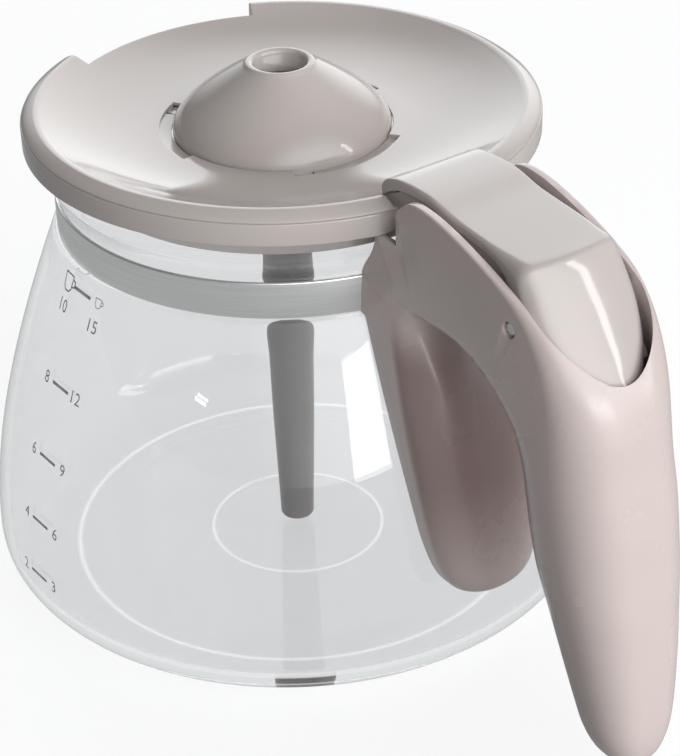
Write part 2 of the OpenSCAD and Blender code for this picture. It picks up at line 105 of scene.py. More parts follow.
def circle(centre: Sequence[float], radius: float, start: float, end: float,
           steps: int) -> np.ndarray:
    """Gives an arc round a centre: the centre plus the radius times (cos, sin).

    Args:
        centre: The arc's centre.
        radius: Its radius.
        start: The first angle in degrees.
        end: The last angle in degrees.
        steps: The number of spans.

    Returns:
        The points, one row each.
    """
    angle = np.radians(np.linspace(start, end, steps + 1))
    return np.asarray(centre, float) + radius * np.stack([np.cos(angle), np.sin(angle)], 1)


def chained(*parts: Sequence) -> np.ndarray:
    """Puts point lists one after another and drops points within 0.01 of the one before.

    Args:
        parts: Lists of points.

    Returns:
        All the points in order.
    """
    points = np.concatenate([np.atleast_2d(np.asarray(p, float)) for p in parts])
    keep = np.ones(len(points), bool)
    keep[1:] = np.linalg.norm(np.diff(points, axis=0), axis=1) > 0.01
    return points[keep]


def softened(outline: np.ndarray, radius: float, angle: float = 25.0,
             steps: int = 4) -> np.ndarray:
    """Rounds the corners of a closed outline that turn by more than an angle.

    A corner P between the unit directions u and v gives way to the parabola
    (1 - s)^2 (P + u t) + 2 s (1 - s) P + s^2 (P + v t), where t is the radius divided by
    the tangent of half the corner, and at most 0.45 of the shorter side.

    Args:
        outline: The closed outline, one point a row.
        radius: The corners' radius.
        angle: The least turn, in degrees, that counts as a corner.
        steps: The spans of each rounded corner.

    Returns:
        The outline with rounded corners.
    """
    before, after = np.roll(outline, 1, 0) - outline, np.roll(outline, -1, 0) - outline
    near, far = np.linalg.norm(before, axis=1), np.linalg.norm(after, axis=1)
    u, v = before / near[:, None], after / far[:, None]
    inside = np.arccos(np.clip((u * v).sum(1), -1, 1))
    reach = np.minimum(radius / np.maximum(np.tan(inside / 2), 1e-6),
                       0.45 * np.minimum(near, far))
    reach = np.where(np.pi - inside > math.radians(angle), reach, 0.0)
    s = np.linspace(0, 1, steps + 1)[None, :, None]
    p, t = outline[:, None], reach[:, None, None]
    points = (1 - s) ** 2 * (p + u[:, None] * t) + 2 * s * (1 - s) * p \
        + s * s * (p + v[:, None] * t)
    flat = chained(points.reshape(-1, 2))
    return flat[:-1] if np.linalg.norm(flat[0] - flat[-1]) < 1e-6 else flat


def flowing(rows: np.ndarray, steps: int) -> np.ndarray:
    """Adds rows to a table so that every column runs as a smooth curve through it.

    Between two rows a value is half of 2 p1 + (p2 - p0) t + (2 p0 - 5 p1 + 4 p2 - p3) t^2
    + (3 p1 - p0 - 3 p2 + p3) t^3.

    Args:
        rows: The table.
        steps: The spans between two rows.

    Returns:
        The finer table.
    """
    last = len(rows) - 1
    i = np.arange(last)
    p0, p1, p2, p3 = (rows[np.clip(i + k, 0, last)][:, None] for k in (-1, 0, 1, 2))
    t = (np.arange(steps) / steps)[None, :, None]
    body = 0.5 * (2 * p1 + (p2 - p0) * t + (2 * p0 - 5 * p1 + 4 * p2 - p3) * t ** 2
                  + (3 * p1 - p0 - 3 * p2 + p3) * t ** 3)
    return np.concatenate([body.reshape(-1, rows.shape[1]), rows[-1:]])


# Meshes

def placed(name: str, data: bpy.types.ID) -> bpy.types.Object:
    """Makes an object of a mesh, a curve, a lamp or a camera and puts it in the scene.

    Args:
        name: The object's name.
        data: What it shows.

    Returns:
        The new object.
    """
    carrier = bpy.data.objects.new(name, data)
    bpy.context.scene.collection.objects.link(carrier)
    return carrier


def faced(name: str, points: np.ndarray, faces: list[list[int]]) -> bpy.types.Object:
    """Makes a piece of points and faces.

    Args:
        name: The piece's name.
        points: The points in millimetres, one a row.
        faces: The places of each face's corners among the points.

    Returns:
        The new object.
    """
    mesh = bpy.data.meshes.new(name)
    mesh.from_pydata((points * MM).tolist(), [], faces)
    return placed(name, mesh)


def points_of(piece: bpy.types.Object) -> np.ndarray:
    """Reads a piece's points.

    Args:
        piece: The piece.

    Returns:
        The points in metres, one a row.
    """
    flat = np.empty(len(piece.data.vertices) * 3)
    piece.data.vertices.foreach_get("co", flat)
    return flat.reshape(-1, 3)


def shell(name: str, grid: np.ndarray, ring: bool) -> bpy.types.Object:
    """Makes a closed piece of a grid of points whose second direction closes on itself.

    Args:
        name: The piece's name.
        grid: The points in millimetres, of shape (rows, points a row, 3).
        ring: Whether the last row joins the first. Where it doesn't, both ends get a face.

    Returns:
        The new object.
    """
    rows, count = grid.shape[:2]
    i = np.arange(rows if ring else rows - 1)[:, None] * count
    j = np.arange(count)[None, :]
    up, side = (i + count) % (rows * count), (j + 1) % count
    faces = np.stack([i + j, up + j, up + side, i + side], -1).reshape(-1, 4).tolist()
    if not ring:
        faces += [list(range(count)), list(range((rows - 1) * count, rows * count))]
    piece = faced(name, grid.reshape(-1, 3), faces)
    cleaned(piece)
    return piece


def cleaned(piece: bpy.types.Object, weld: float = 0.001) -> None:
    """Merges points that meet and turns the faces of closed shells outwards.

    Args:
        piece: The piece.
        weld: The largest distance, in millimetres, of points that are one.
    """
    work = bmesh.new()
    work.from_mesh(piece.data)
    bmesh.ops.remove_doubles(work, verts=work.verts, dist=weld * MM)
    bmesh.ops.dissolve_degenerate(work, edges=work.edges, dist=0.2 * weld * MM)
    bmesh.ops.recalc_face_normals(work, faces=work.faces)
    work.to_mesh(piece.data)
    work.free()


def turned(name: str, outline: np.ndarray, steps: int = 192, start: float = 0.0,
           sweep: float = 360.0) -> bpy.types.Object:
    """Turns a closed outline about the Z axis: x = r cos a, y = r sin a, z = z.

    Args:
        name: The piece's name.
        outline: The outline as rows of (r, z).
        steps: The spans round a full turn.
        start: The first angle in degrees.
        sweep: The angle that the outline goes round.

    Returns:
        The new object.
    """
    whole = sweep >= 360
    count = max(3, int(round(steps * sweep / 360)))
    angle = np.radians(start + sweep * np.arange(count if whole else count + 1) / count)
    r, z = outline[None, :, 0], outline[None, :, 1]
    grid = np.stack([np.cos(angle)[:, None] * r, np.sin(angle)[:, None] * r,
                     np.broadcast_to(z, (len(angle), len(outline)))], -1)
    return shell(name, grid, whole)


def block(name: str, outline: np.ndarray, low: float, high: float,
          axis: str = "Z") -> bpy.types.Object:
    """Carries an outline straight along an axis, with a flat face at both ends.

    Args:
        name: The piece's name.
        outline: The outline, as (x, y) for Z, (x, z) for Y and (y, z) for X.
        low: The start on the axis.
        high: The end on the axis.
        axis: The axis, X, Y or Z.

    Returns:
        The new object.
    """
    a, b = np.broadcast_to(outline.T[:, None], (2, 2, len(outline)))
    c = np.broadcast_to(np.array([[low], [high]]), a.shape)
    order = {"Z": (a, b, c), "Y": (a, c, b), "X": (c, a, b)}[axis]
    return shell(name, np.stack(order, -1), False)


def both_sides(name: str, outline: np.ndarray, inner: float,
               outer: float) -> list[bpy.types.Object]:
    """Carries a side view along Y between two distances, on either side of y = 0.

    Args:
        name: The pieces' name.
        outline: The side view as rows of (x, z).
        inner: The smaller distance.
        outer: The larger distance.

    Returns:
        The two pieces.
    """
    return [block(name, outline, -outer, -inner, "Y"), block(name, outline, inner, outer, "Y")]


def oblong(x0: float, x1: float, y0: float, y1: float) -> np.ndarray:
    """Gives the four corners of a rectangle."""
    return np.array([[x0, y0], [x1, y0], [x1, y1], [x0, y1]], float)


def baked(piece: bpy.types.Object) -> None:
    """Writes the result of a piece's modifiers into its mesh.

    Args:
        piece: The piece.
    """
    graph = bpy.context.evaluated_depsgraph_get()
    graph.update()
    result = bpy.data.meshes.new_from_object(piece.evaluated_get(graph))
    piece.modifiers.clear()
    piece.data = result


def combined(piece: bpy.types.Object, how: Cut, *others: bpy.types.Object) -> None:
    """Cuts, joins or keeps what other solids give a piece, and removes them.

    Args:
        piece: The piece that changes.
        how: What the others do to it.
        others: The solids to use.
    """
    for other in others:
        step = piece.modifiers.new("combine", "BOOLEAN")
        step.operation, step.solver, step.object = how.value, "EXACT", other
    baked(piece)
    for other in others:
        bpy.data.objects.remove(other)


def eased(piece: bpy.types.Object, width: float, angle: float = 38.0,
          segments: int = 2) -> None:
    """Rounds a piece's sharp edges a little, as a mould leaves them.

    Args:
        piece: The piece.
        width: The width of the rounding in millimetres.
        angle: The least angle of an edge that is rounded, in degrees.
        segments: The faces across the rounding.
    """
    step = piece.modifiers.new("ease", "BEVEL")
    step.width, step.segments = width * MM, segments
    step.limit_method, step.angle_limit = "ANGLE", math.radians(angle)
    step.use_clamp_overlap = True
    baked(piece)


def dressed(piece: bpy.types.Object, material: bpy.types.Material, body: Body, slot: str,
            *nodes: str, crease: float = 40.0) -> bpy.types.Object:
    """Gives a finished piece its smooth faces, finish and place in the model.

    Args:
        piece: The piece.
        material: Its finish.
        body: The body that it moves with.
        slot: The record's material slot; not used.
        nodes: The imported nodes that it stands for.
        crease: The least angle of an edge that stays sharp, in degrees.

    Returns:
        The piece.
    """
    piece.data.shade_smooth()
    piece.data.set_sharp_from_angle(angle=math.radians(crease))
    piece.data.materials.clear()
    piece.data.materials.append(material)
    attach(piece, body.value)
    if nodes:
        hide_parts(*nodes)
    LOG.info("%s: %d faces on %s", piece.name, len(piece.data.polygons), body.value)
    return piece


# Finishes

class Board:
    """A node tree with short calls to place nodes and join them."""

    def __init__(self, tree: bpy.types.NodeTree) -> None:
        """Keeps the tree and empties it.

        Args:
            tree: The node tree to fill.
        """
        self.tree = tree
        tree.nodes.clear()

    def add(self, kind: str, options: dict | None = None, **inputs: object) -> bpy.types.Node:
        """Places a node and fills its inputs with values or with other nodes' outputs.

        Args:
            kind: The node's type.
            options: The node's own settings.
            inputs: Values by input name, with _ for a space, or by place as i0, i1 and so on.

        Returns:
            The node.
        """
        node = self.tree.nodes.new(kind)
        for key, value in (options or {}).items():
            setattr(node, key, value)
        for key, value in inputs.items():
            place = key[0] == "i" and key[1:].isdigit()
            socket = node.inputs[int(key[1:])] if place else node.inputs[key.replace("_", " ")]
            if isinstance(value, bpy.types.NodeSocket):
                self.tree.links.new(value, socket)
            else:
                socket.default_value = value
        return node

    def place(self) -> bpy.types.NodeSocket:
        """Gives the place in the piece, in metres."""
        return self.add("ShaderNodeTexCoord").outputs["Object"]

    def maths(self, kind: str, *values: object) -> bpy.types.NodeSocket:
        """Gives the result of a maths node.

        Args:
            kind: The operation.
            values: The numbers or sockets that it works on.

        Returns:
            The socket with the result.
        """
        inputs = {f"i{k}": value for k, value in enumerate(values)}
        return self.add("ShaderNodeMath", {"operation": kind}, **inputs).outputs["Value"]

    def ramp(self, value: bpy.types.NodeSocket, start: Sequence[float],
             end: Sequence[float] = (0.0, 1.0), kind: str = "LINEAR") -> bpy.types.NodeSocket:
        """Carries a value from one range over to another and holds it past both ends.

        Args:
            value: The value.
            start: The range that it comes from.
            end: The range that it goes to.
            kind: The curve between the ends.

        Returns:
            The socket with the result.
        """
        return self.add("ShaderNodeMapRange", {"interpolation_type": kind}, Value=value,
                        From_Min=start[0], From_Max=start[1], To_Min=end[0],
                        To_Max=end[1]).outputs["Result"]

    def noise(self, place: bpy.types.NodeSocket, scale: float,
              detail: float) -> bpy.types.NodeSocket:
        """Gives the value of a plain noise.

        Args:
            place: The place to read it at.
            scale: Its scale.
            detail: Its detail.

        Returns:
            The socket with the value.
        """
        return self.add("ShaderNodeTexNoise", Vector=place, Scale=scale,
                        Detail=detail).outputs["Fac"]

    def bump(self, height: bpy.types.NodeSocket, strength: float,
             distance: float) -> bpy.types.NodeSocket:
        """Gives the normal of a surface with a fine relief.

        Args:
            height: The relief's height.
            strength: The share of it that counts.
            distance: The height, in metres, of a full step.

        Returns:
            The socket with the normal.
        """
        return self.add("ShaderNodeBump", Strength=strength, Distance=distance,
                        Height=height).outputs["Normal"]

    def blend(self, share: bpy.types.NodeSocket, first: bpy.types.NodeSocket,
              second: bpy.types.NodeSocket) -> bpy.types.NodeSocket:
        """Mixes two shaders.

        Args:
            share: The share of the second.
            first: The shader where the share is 0.
            second: The shader where it is 1.

        Returns:
            The socket with the mixed shader.
        """
        return self.add("ShaderNodeMixShader", i0=share, i1=first,
                        i2=second).outputs["Shader"]


def grey(value: float) -> tuple[float, float, float, float]:
    """Gives a neutral colour of a linear value."""
    return (value, value, value, 1.0)


def moulded_skin() -> bpy.types.NodeTree:
    """Makes the shared effect of a moulded skin, or gives it back if it is there.

    A fine noise gives the grain's height, a coarse one the slow change of tone and of
    gloss.

    Returns:
        The node group.
    """
    name = "moulded_skin"
    if name in bpy.data.node_groups:
        return bpy.data.node_groups[name]
    slow_scale, middle, tones, glosses = 38.0, (0.3, 0.7), (0.972, 1.02), (0.85, 1.2)
    tree = bpy.data.node_groups.new(name, "ShaderNodeTree")
    for way, labels in (("INPUT", ("Grain Scale", "Colour", "Roughness")),
                        ("OUTPUT", ("Colour", "Roughness", "Height"))):
        for label in labels:
            kind = "NodeSocketColor" if label == "Colour" else "NodeSocketFloat"
            tree.interface.new_socket(label, in_out=way, socket_type=kind)
    board = Board(tree)
    given = board.add("NodeGroupInput")
    place = board.place()
    fine = board.add("ShaderNodeTexNoise", Vector=place, Scale=given.outputs["Grain Scale"],
                     Detail=3.0, Roughness=0.6)
    slow = board.noise(place, slow_scale, 4.0)
    colour = board.add("ShaderNodeHueSaturation", Color=given.outputs["Colour"],
                       Value=board.ramp(slow, middle, tones))
    rough = board.maths("MULTIPLY", board.ramp(slow, middle, glosses),
                        given.outputs["Roughness"])
    board.add("NodeGroupOutput", Colour=colour.outputs["Color"], Roughness=rough,
              Height=fine.outputs["Fac"])
    return tree


@dataclass(frozen=True)
class Finish:
    """A finish with a name and a colour, whose shader each kind of finish gives."""

    name: str
    colour: tuple[float, float, float]

    def tint(self, share: float = 1.0) -> tuple[float, float, float, float]:
        """Gives the colour times a share, with nothing above 1."""
        return (*(min(1.0, share * part) for part in self.colour), 1.0)

    def surface(self, board: Board) -> bpy.types.NodeSocket:
        """Gives the shader of the surface.

        Args:
            board: The node tree to work in.

        Returns:
            The socket with the shader.
        """
        raise NotImplementedError(self.name)

    def material(self) -> bpy.types.Material:
        """Makes the finish.

        Returns:
            The material.
        """
        made = bpy.data.materials.new(self.name)
        made.use_nodes = True
        board = Board(made.node_tree)
        board.add("ShaderNodeOutputMaterial", Surface=self.surface(board))
        return made


@dataclass(frozen=True)
class MouldedPlastic(Finish):
    """A smooth moulded plastic with a faint grain."""

    roughness: float = 0.2
    grain_scale: float = 900.0
    grain_depth: float = 0.02
    grain_height: float = 0.0002
    coat: float = 0.0
    coat_roughness: float = 0.06
    ior: float = 1.5

    def tone(self, board: Board, colour: bpy.types.NodeSocket) -> bpy.types.NodeSocket:
        """Gives the skin's colour as it is."""
        return colour

    def surface(self, board: Board) -> bpy.types.NodeSocket:
        """Gives the shared skin's tone, gloss and grain to a plastic shader.

        Args:
            board: The node tree to work in.

        Returns:
            The socket with the shader.
        """
        skin = board.add("ShaderNodeGroup", {"node_tree": moulded_skin()},
                         Grain_Scale=self.grain_scale, Colour=self.tint(),
                         Roughness=self.roughness)
        normal = board.bump(skin.outputs["Height"], self.grain_depth, self.grain_height)
        return board.add("ShaderNodeBsdfPrincipled",
                         Base_Color=self.tone(board, skin.outputs["Colour"]),
                         Roughness=skin.outputs["Roughness"], Normal=normal, IOR=self.ior,
                         Coat_Weight=self.coat,
                         Coat_Roughness=self.coat_roughness).outputs["BSDF"]


@dataclass(frozen=True)
class HandlePlasticWithPaintedShade(MouldedPlastic):
    """The handle's plastic, with painted shade on the leg's face towards the grip.

    The darker tone stands in for the shade that the grip throws on the leg. It is painted into the
    colour, and so it shows from every side and in any light.
    """

    slant: float = 0.246
    across: tuple[float, float, float, float] = (0.0852, 0.0876, 0.0965, 0.0995)
    upward: tuple[float, float, float, float] = (0.022, 0.062, 0.086, 0.100)
    # deep is the colour of the painted shade, multiplied in on the leg's face towards the grip
    deep: tuple[float, float, float] = (0.52, 0.45, 0.44)

    def tone(self, board: Board, colour: bpy.types.NodeSocket) -> bpy.types.NodeSocket:
        """Darkens the colour with painted shade where two ranges meet: x plus the slant times z, and z.

        A range rises from nothing at its first value to the whole at its second, and falls
        from its third value to nothing at its fourth.

        Args:
            board: The node tree to work in.
            colour: The skin's colour.

        Returns:
            The socket with the colour.
        """
        parts = board.add("ShaderNodeSeparateXYZ", Vector=board.place()).outputs
        line = board.maths("MULTIPLY_ADD", parts["Z"], self.slant, parts["X"])
        share, *others = (board.ramp(value, ends, kind="SMOOTHSTEP")
                          for value, marks in ((line, self.across), (parts["Z"], self.upward))
                          for ends in (marks[:2], marks[:1:-1]))
        for other in others:
            share = board.maths("MULTIPLY", share, other)
        # Painted shade: the deep colour is multiplied into the skin where the mask is full
        mixed = board.add("ShaderNodeMix", {"data_type": "RGBA", "blend_type": "MULTIPLY"},
                          i0=share, i6=colour, i7=(*self.deep, 1.0))
        return mixed.outputs[2]


@dataclass(frozen=True)
class RolledSteel(Finish):
    """Satin steel with fine lines along the way it was rolled."""

    roughness: float = 0.32
    line_scale: tuple[float, float, float] = (40.0, 40.0, 2600.0)
    line_depth: float = 0.05
    line_height: float = 0.0001
    tones: tuple[float, float] = (0.86, 1.12)
    glosses: tuple[float, float] = (0.8, 1.2)

    def surface(self, board: Board) -> bpy.types.NodeSocket:
        """Gives a metal shader whose tone, gloss and relief follow one stretched noise.

        Args:
            board: The node tree to work in.

        Returns:
            The socket with the shader.
        """
        mapped = board.add("ShaderNodeMapping", Vector=board.place(), Scale=self.line_scale)
        lines = board.noise(mapped.outputs["Vector"], 1.0, 3.0)
        tone = board.add("ShaderNodeMix", {"data_type": "RGBA"}, i0=lines,
                         i6=self.tint(self.tones[0]), i7=self.tint(self.tones[1]))
        rough = board.ramp(lines, (0.0, 1.0), [share * self.roughness for share in self.glosses])
        normal = board.bump(lines, self.line_depth, self.line_height)
        return board.add("ShaderNodeBsdfPrincipled", Base_Color=tone.outputs[2], Metallic=1.0,
                         Roughness=rough, Normal=normal).outputs["BSDF"]


@dataclass(frozen=True)
class ClearGlass(Finish):
    """Pressed clear glass with a faint grey body and slow waves in its surface."""

    ior: float = 1.47
    wave_scale: float = 16.0
    wave_depth: float = 0.06
    wave_height: float = 0.002
    passing: tuple[float, float, float, float] = (0.93, 0.94, 0.94, 1.0)
    last_depth: float = 4.5
    rings: tuple[tuple[float, float], ...] = ((0.0575, 0.001), (0.0222, 0.0007))
    ring_top: float = 0.0012
    ring_painted_glow: float = 0.95
    ring_share: float = 0.38
    frost: float = 0.8
    frost_roughness: float = 0.5

    def ring_mask(self, board: Board, place: bpy.types.NodeSocket) -> bpy.types.NodeSocket:
        """Gives the share of white frost, lit up by a painted glow, on the foot's contact ring and the
        mould circle.

        The share falls in a straight line from the ring's radius to nothing at its width,
        and nothing counts above the ring's top.

        Args:
            board: The node tree to work in.
            place: The place in the piece.

        Returns:
            The socket with the mask.
        """
        parts = board.add("ShaderNodeSeparateXYZ", Vector=place).outputs
        flat = board.add("ShaderNodeCombineXYZ", X=parts["X"], Y=parts["Y"])
        reach = board.add("ShaderNodeVectorMath", {"operation": "LENGTH"},
                          i0=flat.outputs["Vector"]).outputs["Value"]
        low = board.maths("LESS_THAN", parts["Z"], self.ring_top)
        marks = [board.ramp(board.maths("ABSOLUTE", board.maths("SUBTRACT", reach, radius)),
                            (0.0, width), (self.ring_share, 0.0))
                 for radius, width in self.rings]
        return board.maths("MULTIPLY", low, board.maths("MAXIMUM", *marks))

    def surface(self, board: Board) -> bpy.types.NodeSocket:
        """Gives the glass shader with its frosted rings, which also glow as a painted highlight.

        Shadow rays go through it with a light grey tint, and so do rays that have met many
        surfaces before, which would otherwise end black in the thick heel.

        Args:
            board: The node tree to work in.

        Returns:
            The socket with the shader.
        """
        place = board.place()
        waves = board.noise(place, self.wave_scale, 1.0)
        shader = board.add("ShaderNodeBsdfPrincipled", Base_Color=self.tint(), Roughness=0.0,
                           IOR=self.ior, Transmission_Weight=1.0,
                           Normal=board.bump(waves, self.wave_depth, self.wave_height))
        clear = board.add("ShaderNodeBsdfTransparent", Color=self.passing)
        # The rings are rough white frost that also glows: the frost is the glass's own, the glow is a
        # painted highlight
        frosted = board.add("ShaderNodeBsdfPrincipled", Base_Color=grey(self.frost),
                            Roughness=self.frost_roughness, Emission_Color=grey(1.0),
                            Emission_Strength=self.ring_painted_glow)
        ringed = board.blend(self.ring_mask(board, place), shader.outputs["BSDF"],
                             frosted.outputs["BSDF"])
        path = board.add("ShaderNodeLightPath").outputs
        late = board.maths("GREATER_THAN", path["Ray Depth"], self.last_depth)
        return board.blend(board.maths("MAXIMUM", path["Is Shadow Ray"], late), ringed,
                           clear.outputs["BSDF"])


@dataclass(frozen=True)
class PrintedInk(Finish):
    """Thin grey print, a little uneven where the screen left it."""

    spot_scale: float = 1500.0
    tones: tuple[float, float] = (0.85, 1.15)
    roughness: float = 0.55

    def surface(self, board: Board) -> bpy.types.NodeSocket:
        """Gives a dull shader with small spots of tone.

        Args:
            board: The node tree to work in.

        Returns:
            The socket with the shader.
        """
        tone = board.add("ShaderNodeMix", {"data_type": "RGBA"},
                         i0=board.noise(board.place(), self.spot_scale, 2.0),
                         i6=self.tint(self.tones[0]), i7=self.tint(self.tones[1]))
        return board.add("ShaderNodeBsdfPrincipled", Base_Color=tone.outputs[2],
                         Roughness=self.roughness).outputs["BSDF"]


class Finishes:
    """All the finishes of the server."""

    def __init__(self) -> None:
        """Makes each material once."""
        self.glass = ClearGlass("clear_glass", (0.84, 0.845, 0.855)).material()
        self.band = RolledSteel("band_steel", (0.88, 0.88, 0.88)).material()
        self.steel = RolledSteel("small_steel", (0.55, 0.54, 0.53), 0.3,
                                 (900.0, 900.0, 900.0)).material()
        # The handle's finish paints shade on the leg's face towards the grip
        self.handle = HandlePlasticWithPaintedShade("handle_plastic", (0.555, 0.472, 0.453), 0.25,
                                    coat=0.1).material()
        self.lid = MouldedPlastic("lid_plastic", (0.49, 0.44, 0.42), 0.075,
                                  coat=0.1).material()
        self.tube = MouldedPlastic("tube_plastic", (0.15, 0.14, 0.135), 0.38, 700.0).material()
        self.ink = PrintedInk("mark_ink", (0.34, 0.34, 0.35)).material()


# The jug

@dataclass
class GlassJug:
    """The glass: foot, heel, wall, neck and flared mouth."""

    height: float = 118.0
    belly_r: float = 76.5
    foot_r: float = 56.0
    heel_z: float = 13.3
    heel_power: float = 0.95
    neck_r: float = 54.0
    mouth_r: float = 58.6
    wall: float = 2.3
    floor: float = 3.0
    floor_flat_r: float = 30.0
    floor_dip: float = 0.05
    band_play: float = 0.12
    hollow: tuple[float, float] = (2.8, 3.0)
    wall_shares: tuple[float, float, float] = (0.28, 0.57, 0.635)
    seat_shares: tuple[float, float] = (0.88, 0.6)
    flare_shares: tuple[float, float] = (0.3, 0.55)
    bridge: tuple[float, float] = (8.0, 5.0)
    bridge_pull: float = 5.0
    mould_r: float = 21.6
    mould_step: tuple[float, float] = (0.66, 0.42)
    under_middle: tuple[tuple[float, float], ...] = ((0.0, 0.7), (14.0, 0.68))
    under_edge: tuple[tuple[float, float], ...] = (
        (38.0, 0.36), (47.0, 0.36), (51.0, 0.36), (51.4, 0.0), (54.0, 0.0))

    def heel(self, a: Sequence[float], b: Sequence[float], steps: int) -> np.ndarray:
        """Gives the heel's squarish quarter: a + (b - a) times (sin^p, 1 - cos^p).

        Args:
            a: The point on the foot.
            b: The point on the wall.
            steps: The number of spans.

        Returns:
            The points as rows of (r, z).
        """
        t = np.linspace(0, math.pi / 2, steps + 1)
        return np.stack([a[0] + (b[0] - a[0]) * np.sin(t) ** self.heel_power,
                         a[1] + (b[1] - a[1]) * (1 - np.abs(np.cos(t)) ** self.heel_power)], 1)

    def side(self, fine: int = 4) -> np.ndarray:
        """Gives the outer side from the heel to the mouth's lip.

        Args:
            fine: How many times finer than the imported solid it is.

        Returns:
            The points as rows of (r, z).
        """
        deep, drop = self.hollow
        low, high, ledge = BAND_Z - drop, BAND_Z + BAND_H, BAND_Z - self.band_play
        rise, r = low - self.heel_z, self.neck_r + deep
        start, lean, end = self.wall_shares
        wall = cubic((self.belly_r, self.heel_z), (self.belly_r, self.heel_z + start * rise),
                     (r + lean * (self.belly_r - r), self.heel_z + end * rise), (r, low),
                     14 * fine)
        start, end = self.seat_shares
        seat = cubic((r, low), (r - 1.0, low + start * drop), (self.neck_r + end * deep, ledge),
                     (self.neck_r, ledge), 6 * fine)
        rise = self.height - high
        start, end = self.flare_shares
        flare = cubic((self.neck_r, high), (self.neck_r, high + start * rise),
                      (self.mouth_r, self.height - end * rise),
                      (self.mouth_r, self.height - self.wall / 2), 5 * fine)
        return chained(wall, seat, flare)

    def inside(self) -> np.ndarray:
        """Gives the inner side: the outer one less the wall, with no step at the band.

        Returns:
            The points as rows of (r, z).
        """
        side = self.side() - [self.wall, 0.0]
        low, high = BAND_Z - self.bridge[0], BAND_Z + self.bridge[1]
        r = np.interp(low, side[:, 1], side[:, 0])
        slope = np.interp(low - 1.0, side[:, 1], side[:, 0]) - r
        neck, pull = self.neck_r - self.wall, self.bridge_pull
        bridge = cubic((r, low), (r - pull * slope, low + pull), (neck, high - pull),
                       (neck, high), 24)
        return chained(side[side[:, 1] < low - 0.2], bridge, side[side[:, 1] > high + 0.2])

    def radius(self, z: np.ndarray) -> np.ndarray:
        """Gives the outer radius of the wall at given heights."""
        side = self.side()
        return np.interp(z, side[:, 1], side[:, 0])

    def build(self) -> bpy.types.Object:
        """Turns the whole wall, foot ring and inner floor in one closed outline.

        Returns:
            The jug.
        """
        r, (high, low) = self.mould_r, self.mould_step
        mould = cubic((r - 1.6, high), (r, high), (r - 0.4, low), (r + 1.2, low), 8)
        under = chained(self.under_middle, mould, self.under_edge[:1],
                        cubic(*self.under_edge[1:], 8))
        side = self.side()
        lip = self.wall / 2
        crest = circle((self.mouth_r - lip, self.height - lip), lip, 0, 180, 12)
        inner_floor = [(self.foot_r - self.floor - 4.0, self.floor),
                       (self.floor_flat_r, self.floor), (0.0, self.floor + self.floor_dip)]
        outline = chained(
            under, self.heel((self.foot_r, 0.0), (self.belly_r, self.heel_z), 20), side, crest,
            self.inside()[::-1],
            self.heel((self.foot_r - self.floor, self.floor),
                      (self.belly_r - self.wall, self.heel_z), 20)[::-1], inner_floor)
        return turned("glass_wall", outline, 224)

    def dress(self, finishes: Finishes) -> None:
        """Builds the jug and gives it its glass.

        Args:
            finishes: The server's finishes.
        """
        dressed(self.build(), finishes.glass, Body.JUG, "glass", "glass_jug", crease=60)


